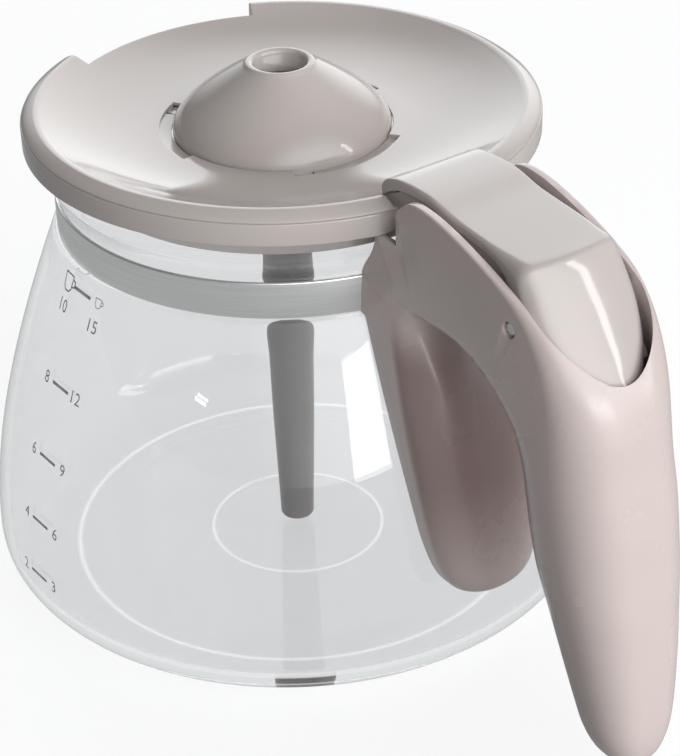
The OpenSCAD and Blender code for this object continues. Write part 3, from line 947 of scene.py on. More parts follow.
@dataclass
class CupMarks:
    """The printed scale: a tick a level, with numbers left and right of it."""

    jug: GlassJug
    azimuth: float = -90.0
    tick: tuple[float, float] = (7.0, 0.75)
    figure: float = 3.0
    levels: tuple[tuple[float, str, str], ...] = (
        (90.8, "10", "15"), (68.3, "8", "12"), (50.4, "6", "9"), (33.7, "4", "6"),
        (19.0, "2", "3"))
    lift: float = 0.06
    icon_drop: float = 5.4
    letter_share: float = 1.42
    figure_gap: float = 3.0
    cups: tuple[tuple[float, float], ...] = ((-3.2, 4.0), (3.0, 2.2))
    line_share: float = 0.045

    def figures(self, text: str, size: float, middle: tuple[float, float]) -> np.ndarray:
        """Gives the triangles of a word, flat, centred on a point.

        Args:
            text: The word.
            size: The height of its figures.
            middle: The centre.

        Returns:
            Corner points of shape (triangles, 3, 2).
        """
        curve = bpy.data.curves.new("figures", "FONT")
        curve.body, curve.size, curve.resolution_u = text, size * self.letter_share, 3
        carrier = placed("figures", curve)
        mesh = bpy.data.meshes.new_from_object(
            carrier.evaluated_get(bpy.context.evaluated_depsgraph_get()))
        mesh.calc_loop_triangles()
        points = np.empty(len(mesh.vertices) * 3)
        mesh.vertices.foreach_get("co", points)
        corners = np.empty(len(mesh.loop_triangles) * 3, int)
        mesh.loop_triangles.foreach_get("vertices", corners)
        flat = points.reshape(-1, 3)[:, :2]
        flat = flat - (flat.min(0) + flat.max(0)) / 2 + middle
        bpy.data.objects.remove(carrier)
        return flat[corners].reshape(-1, 3, 2)

    def bar(self, x0: float, x1: float, z0: float, z1: float) -> np.ndarray:
        """Gives the two triangles of a flat bar."""
        a, b, c, d = oblong(x0, x1, z0, z1)
        return np.array([[a, b, c], [a, c, d]])

    def cup(self, size: float, middle: tuple[float, float]) -> np.ndarray:
        """Gives the outline of a small cup with an ear, drawn with a thin line.

        Args:
            size: The cup's width.
            middle: Its centre.

        Returns:
            Corner points of shape (triangles, 3, 2).
        """
        bowl = np.array([[-0.5, 0.45], [-0.42, -0.3], [-0.2, -0.5], [0.2, -0.5], [0.42, -0.3],
                         [0.5, 0.45], [-0.5, 0.45]])
        ear = np.array([[0.5, 0.3], [0.78, 0.22], [0.74, -0.08], [0.44, -0.16]])
        thin, parts = self.line_share, []
        for line in (bowl, ear):
            a, b = line[:-1], line[1:]
            along = (b - a) / np.linalg.norm(b - a, axis=1)[:, None]
            n = np.stack([-along[:, 1], along[:, 0]], 1) * thin
            a, b = a - along * thin * 0.6, b + along * thin * 0.6
            parts += [np.stack([a - n, b - n, b + n], 1), np.stack([a - n, b + n, a + n], 1)]
        return np.concatenate(parts) * size + middle

    def build(self) -> bpy.types.Object:
        """Lays all the marks on the glass.

        A flat point (u, v) goes to height v and to the angle azimuth + u / r, at the
        glass radius r of that height plus the lift.

        Returns:
            The marks as one mesh.
        """
        half = self.tick[0] / 2
        top = self.levels[0][0]
        flat = []
        for z, left, right in self.levels:
            flat.append(self.bar(-half, half, z - self.tick[1] / 2, z + self.tick[1] / 2))
            drop = self.icon_drop if z == top else 0.0
            for word, x in ((left, -half - self.figure_gap), (right, half + self.figure_gap)):
                flat.append(self.figures(word, self.figure, (x, z - drop)))
        for off, size in self.cups:
            flat.append(self.cup(size, (math.copysign(half, off) + off, top)))
        points = np.concatenate(flat).reshape(-1, 2)
        z = points[:, 1]
        r = self.jug.radius(z) + self.lift
        a = math.radians(self.azimuth) + points[:, 0] / r
        solid = np.stack([r * np.cos(a), r * np.sin(a), z], 1)
        return faced("cup_marks", solid, np.arange(len(solid)).reshape(-1, 3).tolist())

    def dress(self, finishes: Finishes) -> None:
        """Builds the marks and gives them their ink."""
        dressed(self.build(), finishes.ink, Body.JUG, "glass")


@dataclass
class NeckBand:
    """The strip round the neck, with two ears bent out at the handle."""

    radius: float = 54.05
    thick: float = 0.9
    ear_y: float = 3.85
    ear_x: float = 61.25
    bend: float = 1.7
    bend_share: float = 0.62
    edge_r: float = 0.3
    hole: tuple[float, float, float] = (58.27, 2.81, 0.95)

    def build(self) -> bpy.types.Object:
        """Carries the strip's rounded section along its path in plan.

        The path is one ear, a bend, the circle and the other ear, and each section point
        is the path point plus its height and its way along the path's normal.

        Returns:
            The band.
        """
        mid = self.radius + self.thick / 2
        corner = np.array([math.sqrt(mid ** 2 - self.ear_y ** 2), self.ear_y])
        leave = math.degrees(math.atan2(self.ear_y, corner[0]) + self.bend / mid)
        onto = mid * np.array([math.cos(math.radians(leave)), math.sin(math.radians(leave))])
        start = corner + [self.bend, 0.0]
        turn = cubic(start, start + self.bend_share * (corner - start),
                     onto + self.bend_share * (corner - onto), onto, 10)
        path = chained([[self.ear_x, self.ear_y]], turn,
                       circle((0, 0), mid, leave, 360 - leave, 220), turn[::-1] * [1, -1],
                       [[self.ear_x, -self.ear_y]])
        along = np.gradient(path, axis=0)
        along /= np.linalg.norm(along, axis=1)[:, None]
        normal = np.stack([along[:, 1], -along[:, 0]], 1)
        section = softened(oblong(-self.thick / 2, self.thick / 2, BAND_Z, BAND_Z + BAND_H),
                           self.edge_r)
        plan = path[:, None] + normal[:, None] * section[None, :, :1]
        z = np.broadcast_to(section[None, :, 1:], (*plan.shape[:2], 1))
        return shell("band_strip", np.concatenate([plan, z], -1), False)

    def dress(self, finishes: Finishes) -> None:
        """Builds the band with the holes of its ears and gives it its steel.

        Args:
            finishes: The server's finishes.
        """
        piece = self.build()
        x, off, radius = self.hole
        holes = [block("hole", circle((x, CLAMP_Z + way * off), radius, 0, 345, 23), -6, 6, "Y")
                 for way in (-1, 1)]
        combined(piece, Cut.TAKE, *holes)
        dressed(piece, finishes.band, Body.JUG, "band", "neck_band")


# The handle

@dataclass
class Handle:
    """The handle moulding: cheeks, bridge, inner leg and hanging grip in one loft.

    The rows of the sections are those that lofted takes. The sink for the screw's head ends
    about 4 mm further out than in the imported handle_body.
    """

    slot_w: float = 28.1
    slot_end: float = 107.56
    slot_floor: float = 107.4
    floor_end: float = 91.44
    boss_room: float = 12.4
    boss_turn: tuple[float, float] = (206.84, 253.74)
    sweep_room: float = 22.6
    sweep_turn: tuple[float, float] = (261.16, 360.0)
    room_back: float = 40.0
    leg_gap: float = 0.8
    lid_room: tuple[float, float] = (66.5, 116.2)
    band_r: float = 55.0
    mouth: tuple[float, float] = (1.95, 14.6)
    ear_room: tuple[float, float] = (62.3, 6.5)
    shank_r: float = 2.05
    sink: tuple[float, float, float] = (4.2, 64.9, 80.0)
    core: tuple[float, float] = (1.2, 11.0)
    core_side: tuple[tuple[float, float], ...] = (
        (50, 40), (79, 40), (79.6, 45), (79.2, 51), (77, 62), (74.4, 73), (71.2, 83),
        (68.6, 89), (50, 89))
    edge_r: float = 0.35
    sections: tuple[tuple[float, ...], ...] = (
        (80.4, 28.4, 77.4, 28.4, 2.4, 2.2, 1.2), (82.6, 29.3, 74.5, 29.3, 6.8, 6.4, 3.4),
        (84.3, 31.6, 71.5, 31.6, 10.6, 9.8, 4.6), (84.9, 35.4, 69, 35.4, 12.8, 11.8, 5),
        (84.1, 42, 66.5, 42.5, 14.6, 13, 4), (82.5, 50, 64, 51.5, 15.6, 13.6, 2.5),
        (80.2, 62, 61, 65, 16.4, 13.6, 2), (77.6, 73, 57.5, 78, 16.7, 12.6, 2),
        (74.4, 83, 53, 90, 16.6, 10.4, 2), (71.2, 91, 50, 100, 16.2, 7.6, 1.8),
        (69.2, 96.4, 50, 109, 15.8, 5.2, 1.6), (70, 99.6, 57, 118, 15.6, 4, 1.4),
        (72.6, 100.4, 66.4, 126.2, 15.7, 3.6, .8), (76, 100.6, 70.6, 128.5, 15.9, 3.6, .5),
        (80, 100.6, 77.2, 128.3, 16, 3.8, .5), (84.4, 99.9, 84.4, 126.7, 16, 4.2, .5),
        (88.4, 98.2, 91.4, 124.5, 16, 5, .5), (91.9, 95.7, 98.7, 121.8, 16, 6, .9),
        (94.8, 92.7, 106.2, 118.4, 16, 7.2, 2), (97.1, 89.4, 113.2, 113.8, 15.9, 8.4, 5),
        (98.8, 86, 118.5, 107.9, 15.8, 9.6, 8), (99.9, 82.4, 122.5, 101.3, 15.7, 10.6, 10.6),
        (100.8, 78.4, 125, 93.8, 15.7, 11.2, 12.2), (101.5, 74, 126.6, 85, 15.8, 11.6, 12.4),
        (102.3, 69.2, 128.4, 75.4, 15.9, 11.8, 12),
        (103.6, 62.6, 129.8, 66, 15.6, 11.6, 11.6), (105.4, 55.8, 131, 57.4, 15.1, 11.2, 11.2),
        (108.2, 47.8, 132.2, 48.4, 14.1, 10.6, 10.6),
        (111.8, 37.2, 133.5, 37.2, 12.8, 9.7, 9.7), (115.6, 25.6, 134.4, 25.4, 11.1, 8.5, 8.5),
        (117.6, 19, 134.49, 18.8, 9.6, 7.4, 7.4), (119.6, 14.2, 133.9, 14, 7.6, 6.2, 6.2),
        (121.8, 11.4, 132.7, 11.3, 5.4, 4.6, 4.6), (124.6, 10.1, 130.4, 10, 2.8, 2.4, 2.4))

    def pocket(self) -> bpy.types.Object:
        """Gives the room between the cheeks: a U in plan, kept where the side view needs it.

        Returns:
            The room as a solid.
        """
        half, far, pin = self.slot_w / 2, self.sweep_room, (PIN_X, PIN_Z)
        back = self.room_back
        plan = chained([[back, -half]], circle((self.slot_end, 0), half, -90, 90, 64),
                       [[back, half]])
        side = chained([[back, self.slot_floor], [self.floor_end, self.slot_floor]],
                       circle(pin, self.boss_room, *self.boss_turn, 24),
                       circle(pin, far, *self.sweep_turn, 40),
                       [[PIN_X + far, CUT_FAR], [back, CUT_FAR]])
        room = block("room", plan, CUT_LOW, CUT_HIGH)
        combined(room, Cut.KEEP, block("side", side, -20, 20, "Y"))
        return room

    def build(self, jug: GlassJug) -> bpy.types.Object:
        """Lofts the handle and takes out the saddle, the pocket, the bores and the hollow.

        Args:
            jug: The glass that the leg hugs.

        Returns:
            The handle.
        """
        piece = lofted("handle_moulding", np.array(self.sections), 6, 10)
        gap, (front, top) = self.leg_gap, self.lid_room
        outer = chained([[0, -1], [jug.foot_r + gap, -1]],
                        jug.heel((jug.foot_r, 0), (jug.belly_r, jug.heel_z), 8) + [gap, 0],
                        jug.side(2) + [gap, 0])
        outer = outer[outer[:, 1] < top]
        saddle = turned("saddle", chained(outer, [[jug.mouth_r + gap + TOUCH, top], [front, top],
                                                  [front, CUT_HIGH], [0, CUT_HIGH]]), 160)
        low, high = BAND_Z - TOUCH, BAND_Z + BAND_H + TOUCH
        band = turned("band_room", oblong(30, self.band_r, low, high), 160)
        pin, clamp = (PIN_X, PIN_Z), (0, CLAMP_Z)
        bore = block("bore", circle(pin, BORE_R, 0, 354, 47), -30, 30, "Y")
        mouths = both_sides("mouth", circle(pin, self.mouth[0], 0, 354, 47), self.mouth[1], 20)
        reach, half = self.ear_room
        ears = block("ears", oblong(40, reach, -half, half), low, high)
        radius, start, end = self.sink
        shank = block("shank", circle(clamp, self.shank_r, 0, 348, 29), 50, 66, "X")
        sink = block("sink", circle(clamp, radius, 0, 352, 44), start, end, "X")
        cores = both_sides("core", np.array(self.core_side, float), *self.core)
        combined(piece, Cut.TAKE, saddle, band, self.pocket(), bore, ears, shank, sink, *cores,
                 *mouths)
        cleaned(piece, 0.02)
        return piece

    def dress(self, jug: GlassJug, finishes: Finishes) -> None:
        """Builds the handle, rounds its edges and gives it its plastic.

        Args:
            jug: The glass that the leg hugs.
            finishes: The server's finishes.
        """
        piece = self.build(jug)
        eased(piece, self.edge_r)
        dressed(piece, finishes.handle, Body.JUG, "handle_plastic", "handle_body")


def lofted(name: str, table: np.ndarray, fine: int, corner: int,
           spans: int = 1) -> bpy.types.Object:
    """Carries a rounded section along a table of side-view points.

    A row holds the section's two ends a and b in side view, its half width and the
    rounding at a and at b. The rounding is measured across the handle and is at most
    0.96 of the half width there and 0.96 of half the section's depth along it.

    Args:
        name: The piece's name.
        table: Rows of (ax, az, bx, bz, half width, rounding at a, rounding at b).
        fine: The spans between two rows.
        corner: The spans of a rounded corner.
        spans: The spans across the section's flat sides.

    Returns:
        The new object.
    """
    rows = flowing(table, fine)
    a, b, (w, ra, rb) = rows[:, 0:2], rows[:, 2:4], rows[:, 4:].T
    h = np.linalg.norm(b - a, axis=1) / 2
    c, u = (a + b) / 2, (b - a) / (2 * h[:, None])
    most = 0.96
    across = [np.minimum(r, most * w) for r in (ra, rb)]
    deep = [np.minimum(r, most * h) for r in (ra, rb)]
    parts = []
    for quarter, (end, side) in enumerate(((1, 1), (0, 1), (0, -1), (1, -1))):
        t = np.radians(90 * quarter + 90 * np.arange(corner + 1) / corner)[None, :]
        middle = (h - deep[1]) if end else (deep[0] - h)
        out = middle[:, None] + deep[end][:, None] * np.cos(t)
        y = side * (w - across[end])[:, None] + across[end][:, None] * np.sin(t)
        parts.append(np.stack([c[:, :1] + u[:, :1] * out, y, c[:, 1:] + u[:, 1:] * out], -1))
    grid = parts
    if spans > 1:
        t = (np.arange(1, spans) / spans)[None, :, None]
        grid = [side for k, part in enumerate(parts)
                for side in (part, part[:, -1:] * (1 - t) + parts[(k + 1) % 4][:, :1] * t)]
    return shell(name, np.concatenate(grid, 1), False)


@dataclass
class HingePin:
    """The pin through both cheeks and the lid's arm."""

    radius: float = 1.6
    half: float = 15.36
    chamfer: float = 0.3

    def build(self) -> bpy.types.Object:
        """Turns the pin's side view about its own axis, which runs along Y.

        Returns:
            The pin.
        """
        r, c, h = self.radius, self.chamfer, self.half
        line = np.array([[0, -h], [r - c, -h], [r, c - h], [r, h - c], [r - c, h], [0, h]])
        piece = turned("pin", line, 40)
        points = points_of(piece)[:, [0, 2, 1]] * [1, 1, -1] + np.array([PIN_X, 0, PIN_Z]) * MM
        piece.data.vertices.foreach_set("co", points.ravel())
        cleaned(piece)
        return piece

    def dress(self, finishes: Finishes) -> None:
        """Builds the pin and gives it its steel."""
        dressed(self.build(), finishes.steel, Body.JUG, "hardware", "hinge_pin")


# The lid

@dataclass
class LidShape:
    """The heights and radii that the lid's pieces share."""

    crest_z: float = 124.0
    crest_r: float = 57.8
    tier_r: float = 61.0
    skirt_r: float = 61.3
    dish_depth: float = 6.8
    wall: float = 2.2
    step: float = 2.1
    skirt_h: float = 5.4
    hole_r: float = 26.2
    ledge: float = 2.9
    plug_r: float = 50.2
    plug_h: float = 8.0
    web_z: float = 118.55
    spout: float = 54.0
    dish_shares: tuple[float, float, float] = (0.46, 0.24, 0.4)
    lip_shares: tuple[float, float] = (0.06, 0.07)
    crest_steps: tuple[tuple[float, float], ...] = ((-0.8, -0.01), (-0.5, 0.0), (0.1, -0.02))
    slope_steps: tuple[tuple[float, float], ...] = ((0.3, -0.07), (1.3, -0.5))
    slope_end: tuple[float, float] = (-0.5, 0.6)
    slope_share: float = 0.85

    @property
    def dish_z(self) -> float:
        """The height of the dish's floor."""
        return self.crest_z - self.dish_depth

    @property
    def tier_z(self) -> float:
        """The height of the step between the two tiers."""
        return self.crest_z - self.step

    @property
    def floor_r(self) -> float:
        """The radius at which the dish begins to rise."""
        return self.hole_r + self.ledge + 0.3 * self.wall

    def dish(self, fine: int = 4) -> np.ndarray:
        """Gives the dish's upper side from the floor to the rim.

        Args:
            fine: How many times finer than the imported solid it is.

        Returns:
            The points as rows of (r, z).
        """
        f, c, d = self.floor_r, self.crest_r, self.dish_depth
        start, back, down = self.dish_shares
        return cubic((f, self.dish_z), (f + start * (c - f), self.dish_z),
                     (c - back * (c - f), self.crest_z - down * d), self.lip(), 10 * fine)

    def lip(self) -> tuple[float, float]:
        """Gives the point where the dish's side goes over into the rim's crest."""
        back, down = self.lip_shares
        return (self.crest_r - back * (self.crest_r - self.floor_r),
                self.crest_z - down * self.dish_depth)

    def rim(self, fine: int = 4) -> np.ndarray:
        """Gives the rim's crest and its sloping outer face.

        Args:
            fine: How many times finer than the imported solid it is.

        Returns:
            The points as rows of (r, z).
        """
        top = np.array([self.crest_r, self.crest_z])
        low = np.array([self.tier_r, self.crest_z - self.slope_share * self.step])
        crest = cubic(self.lip(), *(top + move for move in self.crest_steps), 5 * fine)
        slope = cubic(*(top + move for move in self.slope_steps), low + self.slope_end, low,
                      5 * fine)
        return chained(crest, slope)

    def spout_cut(self, inner: float) -> bpy.types.Object:
        """Gives the sector that is left out of the rim at the spout.

        Args:
            inner: Its inner radius.

        Returns:
            The sector as a solid.
        """
        return turned("spout_cut", oblong(inner, 130, 90, CUT_FAR), 192,
                      180 - self.spout / 2, self.spout)


@dataclass
class LidBase:
    """The lower tier, the web over the glass, the ring in the mouth and the hinge arm."""

    shape: LidShape
    skirt: float = 1.4
    step_shares: tuple[float, float] = (1.8, 1.2)
    root: tuple[float, float] = (59.0, 16.3)
    arm_w: float = 22.0
    rib: float = 2.4
    web_inset: float = 0.3
    boss: tuple[float, float] = (5.5, 13.0)
    corner_r: float = 0.35
    edge_r: float = 0.3
    arm: tuple[tuple[float, float], ...] = (
        (54, 119.1), (62.4, 119.1), (70.04, 114.58), (81.97, 109.59), (91.96, 108.17),
        (96.96, 108.64), (102.52, 108.88), (105.99, 110.54), (109.37, 106.62),
        (113.56, 101.87), (115.58, 103.06), (112.68, 107.45), (109.78, 112.56),
        (106.39, 117.55), (103, 121.59), (100.99, 123.02), (93.01, 123.85), (86, 124.44),
        (78.99, 125.27), (71.97, 126.82), (66.01, 127.06), (61.01, 126.34), (57.39, 124.56),
        (55.21, 123.02), (54, 121.59))

    def ring(self) -> bpy.types.Object:
        """Turns the tier, the web and the mouth ring, and cuts it open at the cheeks.

        Returns:
            The ring.
        """
        s = self.shape
        dish = s.dish()
        under = dish[dish[:, 0] > s.plug_r - s.wall] - [0, s.wall + TOUCH]
        low, (down, out) = s.tier_z - s.skirt_h, self.step_shares
        outline = softened(chained(
            [(s.plug_r - s.wall, s.dish_z - s.plug_h), (s.plug_r, s.dish_z - s.plug_h),
             (s.plug_r, s.web_z - down * s.wall), (s.plug_r + out * s.wall, s.web_z),
             (s.skirt_r - self.skirt, s.web_z), (s.skirt_r - self.skirt, low),
             (s.skirt_r, low), (s.skirt_r, s.tier_z - TOUCH), (s.crest_r, s.tier_z - TOUCH)],
            under[::-1], [(s.plug_r - s.wall, under[0, 1])]), self.corner_r)
        piece = turned("lid_ring", outline, 224, 180 + s.spout / 2, 360 - s.spout)
        x, half = self.root
        combined(piece, Cut.TAKE, block("root", oblong(x, CUT_FAR, -half, half), CUT_LOW,
                                         CUT_HIGH))
        return piece

    def build(self) -> bpy.types.Object:
        """Joins the ring, the arm's ribs, its top and the hinge boss.

        Returns:
            The lid's base.
        """
        piece = self.ring()
        arm = np.array(self.arm)
        half = self.arm_w / 2
        ribs = both_sides("rib", arm, half - self.rib, half)
        top = chained(arm[14:], arm[:2], arm[19:13:-1] - [0, self.rib])
        web = block("web", top, self.web_inset - half, half - self.web_inset, "Y")
        pin, (radius, reach) = (PIN_X, PIN_Z), self.boss
        boss = block("boss", circle(pin, radius, 0, 352.5, 47), -reach, reach, "Y")
        combined(piece, Cut.JOIN, *ribs, web, boss)
        combined(piece, Cut.TAKE, block("bore", circle(pin, BORE_R, 0, 352, 44), -20, 20, "Y"))
        cleaned(piece, 0.01)
        return piece

    def dress(self, finishes: Finishes) -> None:
        """Builds the base, rounds its edges and gives it its plastic.

        Args:
            finishes: The server's finishes.
        """
        piece = self.build()
        eased(piece, self.edge_r)
        dressed(piece, finishes.lid, Body.LID, "lid_plastic", "lid_base")


@dataclass
class LidDish:
    """The upper tier: the concave dish, its round shoulder and the lug recesses."""

    shape: LidShape
    starts: tuple[float, ...] = (-29.0, 91.0, 209.0)
    recess: float = 65.0
    opening: float = 9.5
    depth: float = 0.88
    edge_r: float = 53.5
    cover: tuple[float, float] = (53.2, 24.4)
    corner_r: float = 0.3
    ease_r: float = 0.32

    def build(self) -> bpy.types.Object:
        """Turns the dish and cuts the spout, the lever's place and the recesses.

        Returns:
            The dish.
        """
        s = self.shape
        dish = s.dish()
        under = dish[dish[:, 1] - s.wall < s.tier_z] - [0, s.wall]
        outline = softened(chained(
            [(s.hole_r, s.dish_z - s.wall), (s.hole_r, s.dish_z)], dish, s.rim(),
            [(s.tier_r, s.tier_z), (s.crest_r, s.tier_z)], under[::-1]), self.corner_r)
        piece = turned("lid_bowl", outline, 224)
        x, w = self.cover
        cuts = [s.spout_cut(self.edge_r),
                block("cover", oblong(x, CUT_FAR, -w / 2, w / 2), CUT_LOW, CUT_HIGH)]
        for start in self.starts:
            cuts.append(turned("recess", oblong(s.hole_r - 1, s.hole_r + s.ledge,
                                                s.dish_z - self.depth, s.dish_z + 1), 224,
                               start, self.recess))
            cuts.append(turned("window", oblong(s.hole_r - 1, s.hole_r + s.ledge - 0.01,
                                                s.dish_z - 2 * s.wall, s.dish_z + 0.9), 224,
                               start + 0.02, self.opening))
        combined(piece, Cut.TAKE, *cuts)
        cleaned(piece, 0.01)
        return piece

    def dress(self, finishes: Finishes) -> None:
        """Builds the dish, rounds its edges and gives it its plastic.

        Args:
            finishes: The server's finishes.
        """
        piece = self.build()
        eased(piece, self.ease_r)
        dressed(piece, finishes.lid, Body.LID, "lid_plastic", "lid_dish")


@dataclass
class Lever:
    """The flat cover between the cheeks that bends down into the thumb pad.

    A row of the sections holds the top side's x and z, the underside's x and z, the half
    width and the rounding of the top edges. The pad is wider and deeper here than the packed
    lever_cover, which is a plate of one thickness.
    """

    sections: tuple[tuple[float, ...], ...] = (
        (53.7, 124.3, 54.1, 123.1, 10.8, 0.9), (54.1, 125.8, 54.8, 123.2, 11.5, 0.9),
        (56.2, 127.7, 56.8, 124.7, 11.9, 0.9), (60.2, 129.1, 60.6, 126.5, 12, 0.9),
        (66, 129.6, 66.2, 127.2, 12, 0.9), (72, 129.4, 72, 127, 12, 0.9),
        (79, 127.9, 78.8, 125.5, 12, 0.9), (86, 127.1, 85.9, 124.7, 12, 0.9),
        (93, 126.5, 92.7, 123.6, 12.2, 1.3), (98.4, 126.1, 96.5, 121.8, 12.5, 2.4),
        (101.8, 125.9, 98.4, 120.3, 12.9, 3.2), (103.4, 125.4, 99.3, 119.5, 13.1, 3.5),
        (104.5, 124.2, 100.2, 118.6, 13.3, 3.7), (106.3, 121.7, 101.8, 117.2, 13.5, 3.8),
        (109.4, 117.2, 104.5, 113.9, 13.5, 3.9), (112.4, 112.7, 107.4, 109.9, 12.9, 3.9),
        (115.3, 108.4, 110.4, 105.1, 11.6, 3.8), (118, 104.5, 113.8, 101.2, 9.3, 3.5),
        (119.9, 102.2, 117.2, 99.8, 6.6, 2.8), (120.8, 101.2, 119.6, 99.8, 3, 1.2))
    under: float = 0.44
    crease: float = 102.8
    crown: float = 1.8
    level_share: float = 0.35
    crease_half: float = 3.0
    inward: tuple[float, float, float] = (0.84, 0.0, 0.55)

    def crowned(self, piece: bpy.types.Object) -> None:
        """Curves the pad across: its middle moves out and its edges move in.

        A point moves in by the crown times the square of y over the half width, less the
        level share. The move grows from nothing on the plate to the whole past the crease
        by the smooth step 3 t^2 - 2 t^3.

        Args:
            piece: The lofted cover.
        """
        table = np.array(self.sections)
        points = points_of(piece) / MM
        half = np.interp(points[:, 0], table[:, 0], table[:, 4])
        share = np.clip(np.abs(points[:, 1]) / half, 0, 1) ** 2
        span = self.crease_half
        t = np.clip((points[:, 0] - self.crease + span) / (2 * span), 0, 1)
        move = self.crown * (share - self.level_share) * t * t * (3 - 2 * t)
        points -= move[:, None] * np.array(self.inward)
        piece.data.vertices.foreach_set("co", (points * MM).ravel())

    def build(self) -> bpy.types.Object:
        """Lofts the cover from its underside and its top side.

        Returns:
            The cover.
        """
        t = np.array(self.sections)
        table = np.concatenate([t[:, 2:4], t[:, 0:2], t[:, 4:5],
                                np.full((len(t), 1), self.under), t[:, 5:6]], 1)
        piece = lofted("thumb_lever", table, 8, 10, 16)
        self.crowned(piece)
        return piece

    def dress(self, finishes: Finishes) -> None:
        """Builds the cover and gives it its plastic."""
        dressed(self.build(), finishes.lid, Body.LID, "lid_plastic", "lever_cover")


# The insert

@dataclass
class DripDome:
    """The dome over the dish with its funnel, lip and three lugs."""

    shape: LidShape
    radius: float = 25.9
    height: float = 15.7
    drip_r: float = 7.4
    wall: float = 1.8
    lip: float = 1.2
    lip_turn: float = 35.0
    tube_r: float = 6.2
    tube_wall: float = 1.0
    seat: float = 9.6
    bore_top: float = 0.67
    outer_shares: tuple[float, float, float, float] = (0.98, 0.28, 0.687, 0.6)
    inner_shares: tuple[float, float, float, float] = (0.98, 0.22, 0.64, 0.5)
    inner_top: float = 0.79
    lug_h: float = 1.2
    lug: float = 8.0
    play: float = 0.5
    lug_gap: float = 0.3
    lug_edge: float = 0.15
    corner_r: float = 0.25

    def build(self, dish: LidDish) -> bpy.types.Object:
        """Turns the dome's wall in one closed outline and joins the lugs.

        Args:
            dish: The dish whose recesses hold the lugs.

        Returns:
            The dome.
        """
        z, r, h = self.shape.dish_z, self.radius, self.height
        centre = np.array([self.drip_r, z + h - self.lip])
        turn = math.radians(self.lip_turn)
        shoulder = centre + self.lip * np.array([math.cos(turn), math.sin(turn)])
        r1, z1, r2, z2 = self.outer_shares
        outer = cubic((r, z), (r1 * r, z + z1 * h), (r2 * r, z + z2 * h), shoulder, 40)
        r1, z1, r2, z2 = self.inner_shares
        inner = cubic((r - self.wall, z), (r1 * r - self.wall, z + z1 * h),
                      (r2 * r, z + z2 * h),
                      (self.tube_r + self.wall + TOUCH, z + self.inner_top * h), 30)
        seat_r, seat_z = self.tube_r + TOUCH, z + self.bore_top * h
        foot = z - self.shape.wall - self.lug_h - TOUCH
        bore = self.tube_r - self.tube_wall
        funnel = cubic(centre - [self.lip, 0], centre - [self.lip + 0.3, 1.0],
                       (bore, seat_z + self.lip + 0.6), (bore, seat_z + self.lip - 0.2), 8)
        outline = chained(
            [(r - self.wall, foot), (r, foot)], outer, circle(centre, self.lip, self.lip_turn, 180, 14),
            funnel, [(bore, seat_z), (seat_r, seat_z), (seat_r, seat_z - self.seat),
                     (seat_r + self.wall, seat_z - self.seat)], inner[::-1])
        piece = turned("dome", softened(outline, self.corner_r, 40), 192)
        reach = self.shape.hole_r + self.shape.ledge - self.lug_gap
        plate = softened(oblong(r - self.wall / 2, reach, foot,
                                z - self.shape.wall - self.lug_gap), self.lug_edge)
        lugs = [turned("lug", plate, 192, start + dish.recess - self.play - self.lug, self.lug)
                for start in dish.starts]
        combined(piece, Cut.JOIN, *lugs)
        return piece

    def dress(self, dish: LidDish, finishes: Finishes) -> None:
        """Builds the dome and gives it its plastic."""
        dressed(self.build(dish), finishes.lid, Body.INSERT, "lid_plastic", "dome_cap")


@dataclass
class DripTube:
    """The dark tube that brings the coffee to the floor of the jug."""

    top: float = 127.669
    tip: float = 5.0
    top_r: float = 6.2
    tip_r: float = 4.3
    wall: float = 1.0
    corner_r: float = 0.2
    widening_shares: tuple[tuple[float, float], ...] = (
        (0.02, 0), (0.14, 0.26), (0.27, 0.53), (0.45, 0.74), (0.61, 1.0), (0.8, 1.0), (1.0, 1.0))

    def build(self) -> bpy.types.Object:
        """Turns the tube, which widens upward by the shares of its height.

        Returns:
            The tube.
        """
        run, grow = self.top - self.tip, self.top_r - self.tip_r
        shares = flowing(np.array(self.widening_shares, float), 5)
        side = np.stack([self.tip_r + np.minimum(shares[:, 1], 1) * grow,
                         self.tip + shares[:, 0] * run], 1)
        bore = self.tip_r - 1.8 * self.wall
        end = circle((self.tip_r - self.wall, self.tip + self.wall), self.wall, -90, 0, 8)
        outline = chained([(bore + 0.2, self.tip)], end, side, side[::-1] - [self.wall, 0],
                          [(self.tip_r - 1.3 * self.wall, self.tip + 2.4 * self.wall),
                           (bore, self.tip + 1.4 * self.wall), (bore, self.tip + 0.2)])
        return turned("tube", softened(outline, self.corner_r, 40), 96)

    def dress(self, finishes: Finishes) -> None:
        """Builds the tube and gives it its plastic."""
        dressed(self.build(), finishes.tube, Body.INSERT, "tube_plastic", "drip_tube")


# The stage

def heading(azimuth: float, elevation: float) -> Vector:
    """Gives a direction of length one: (cos a cos e, sin a cos e, sin e).

    Args:
        azimuth: The angle a round Z in degrees.
        elevation: The angle e above the floor in degrees.

    Returns:
        The direction.
    """
    around, up = math.radians(azimuth), math.radians(elevation)
    return Vector((math.cos(around) * math.cos(up), math.sin(around) * math.cos(up),
                   math.sin(up)))


def seen(board: Board) -> bpy.types.NodeSocket:
    """Gives 1 on rays that come from the camera, straight or by way of the glass.

    Args:
        board: The node tree to work in.

    Returns:
        The socket with the mask.
    """
    path = board.add("ShaderNodeLightPath").outputs
    inside = board.maths("GREATER_THAN", path["Transmission Depth"], 0.5)
    return board.maths("MAXIMUM", path["Is Camera Ray"], inside)


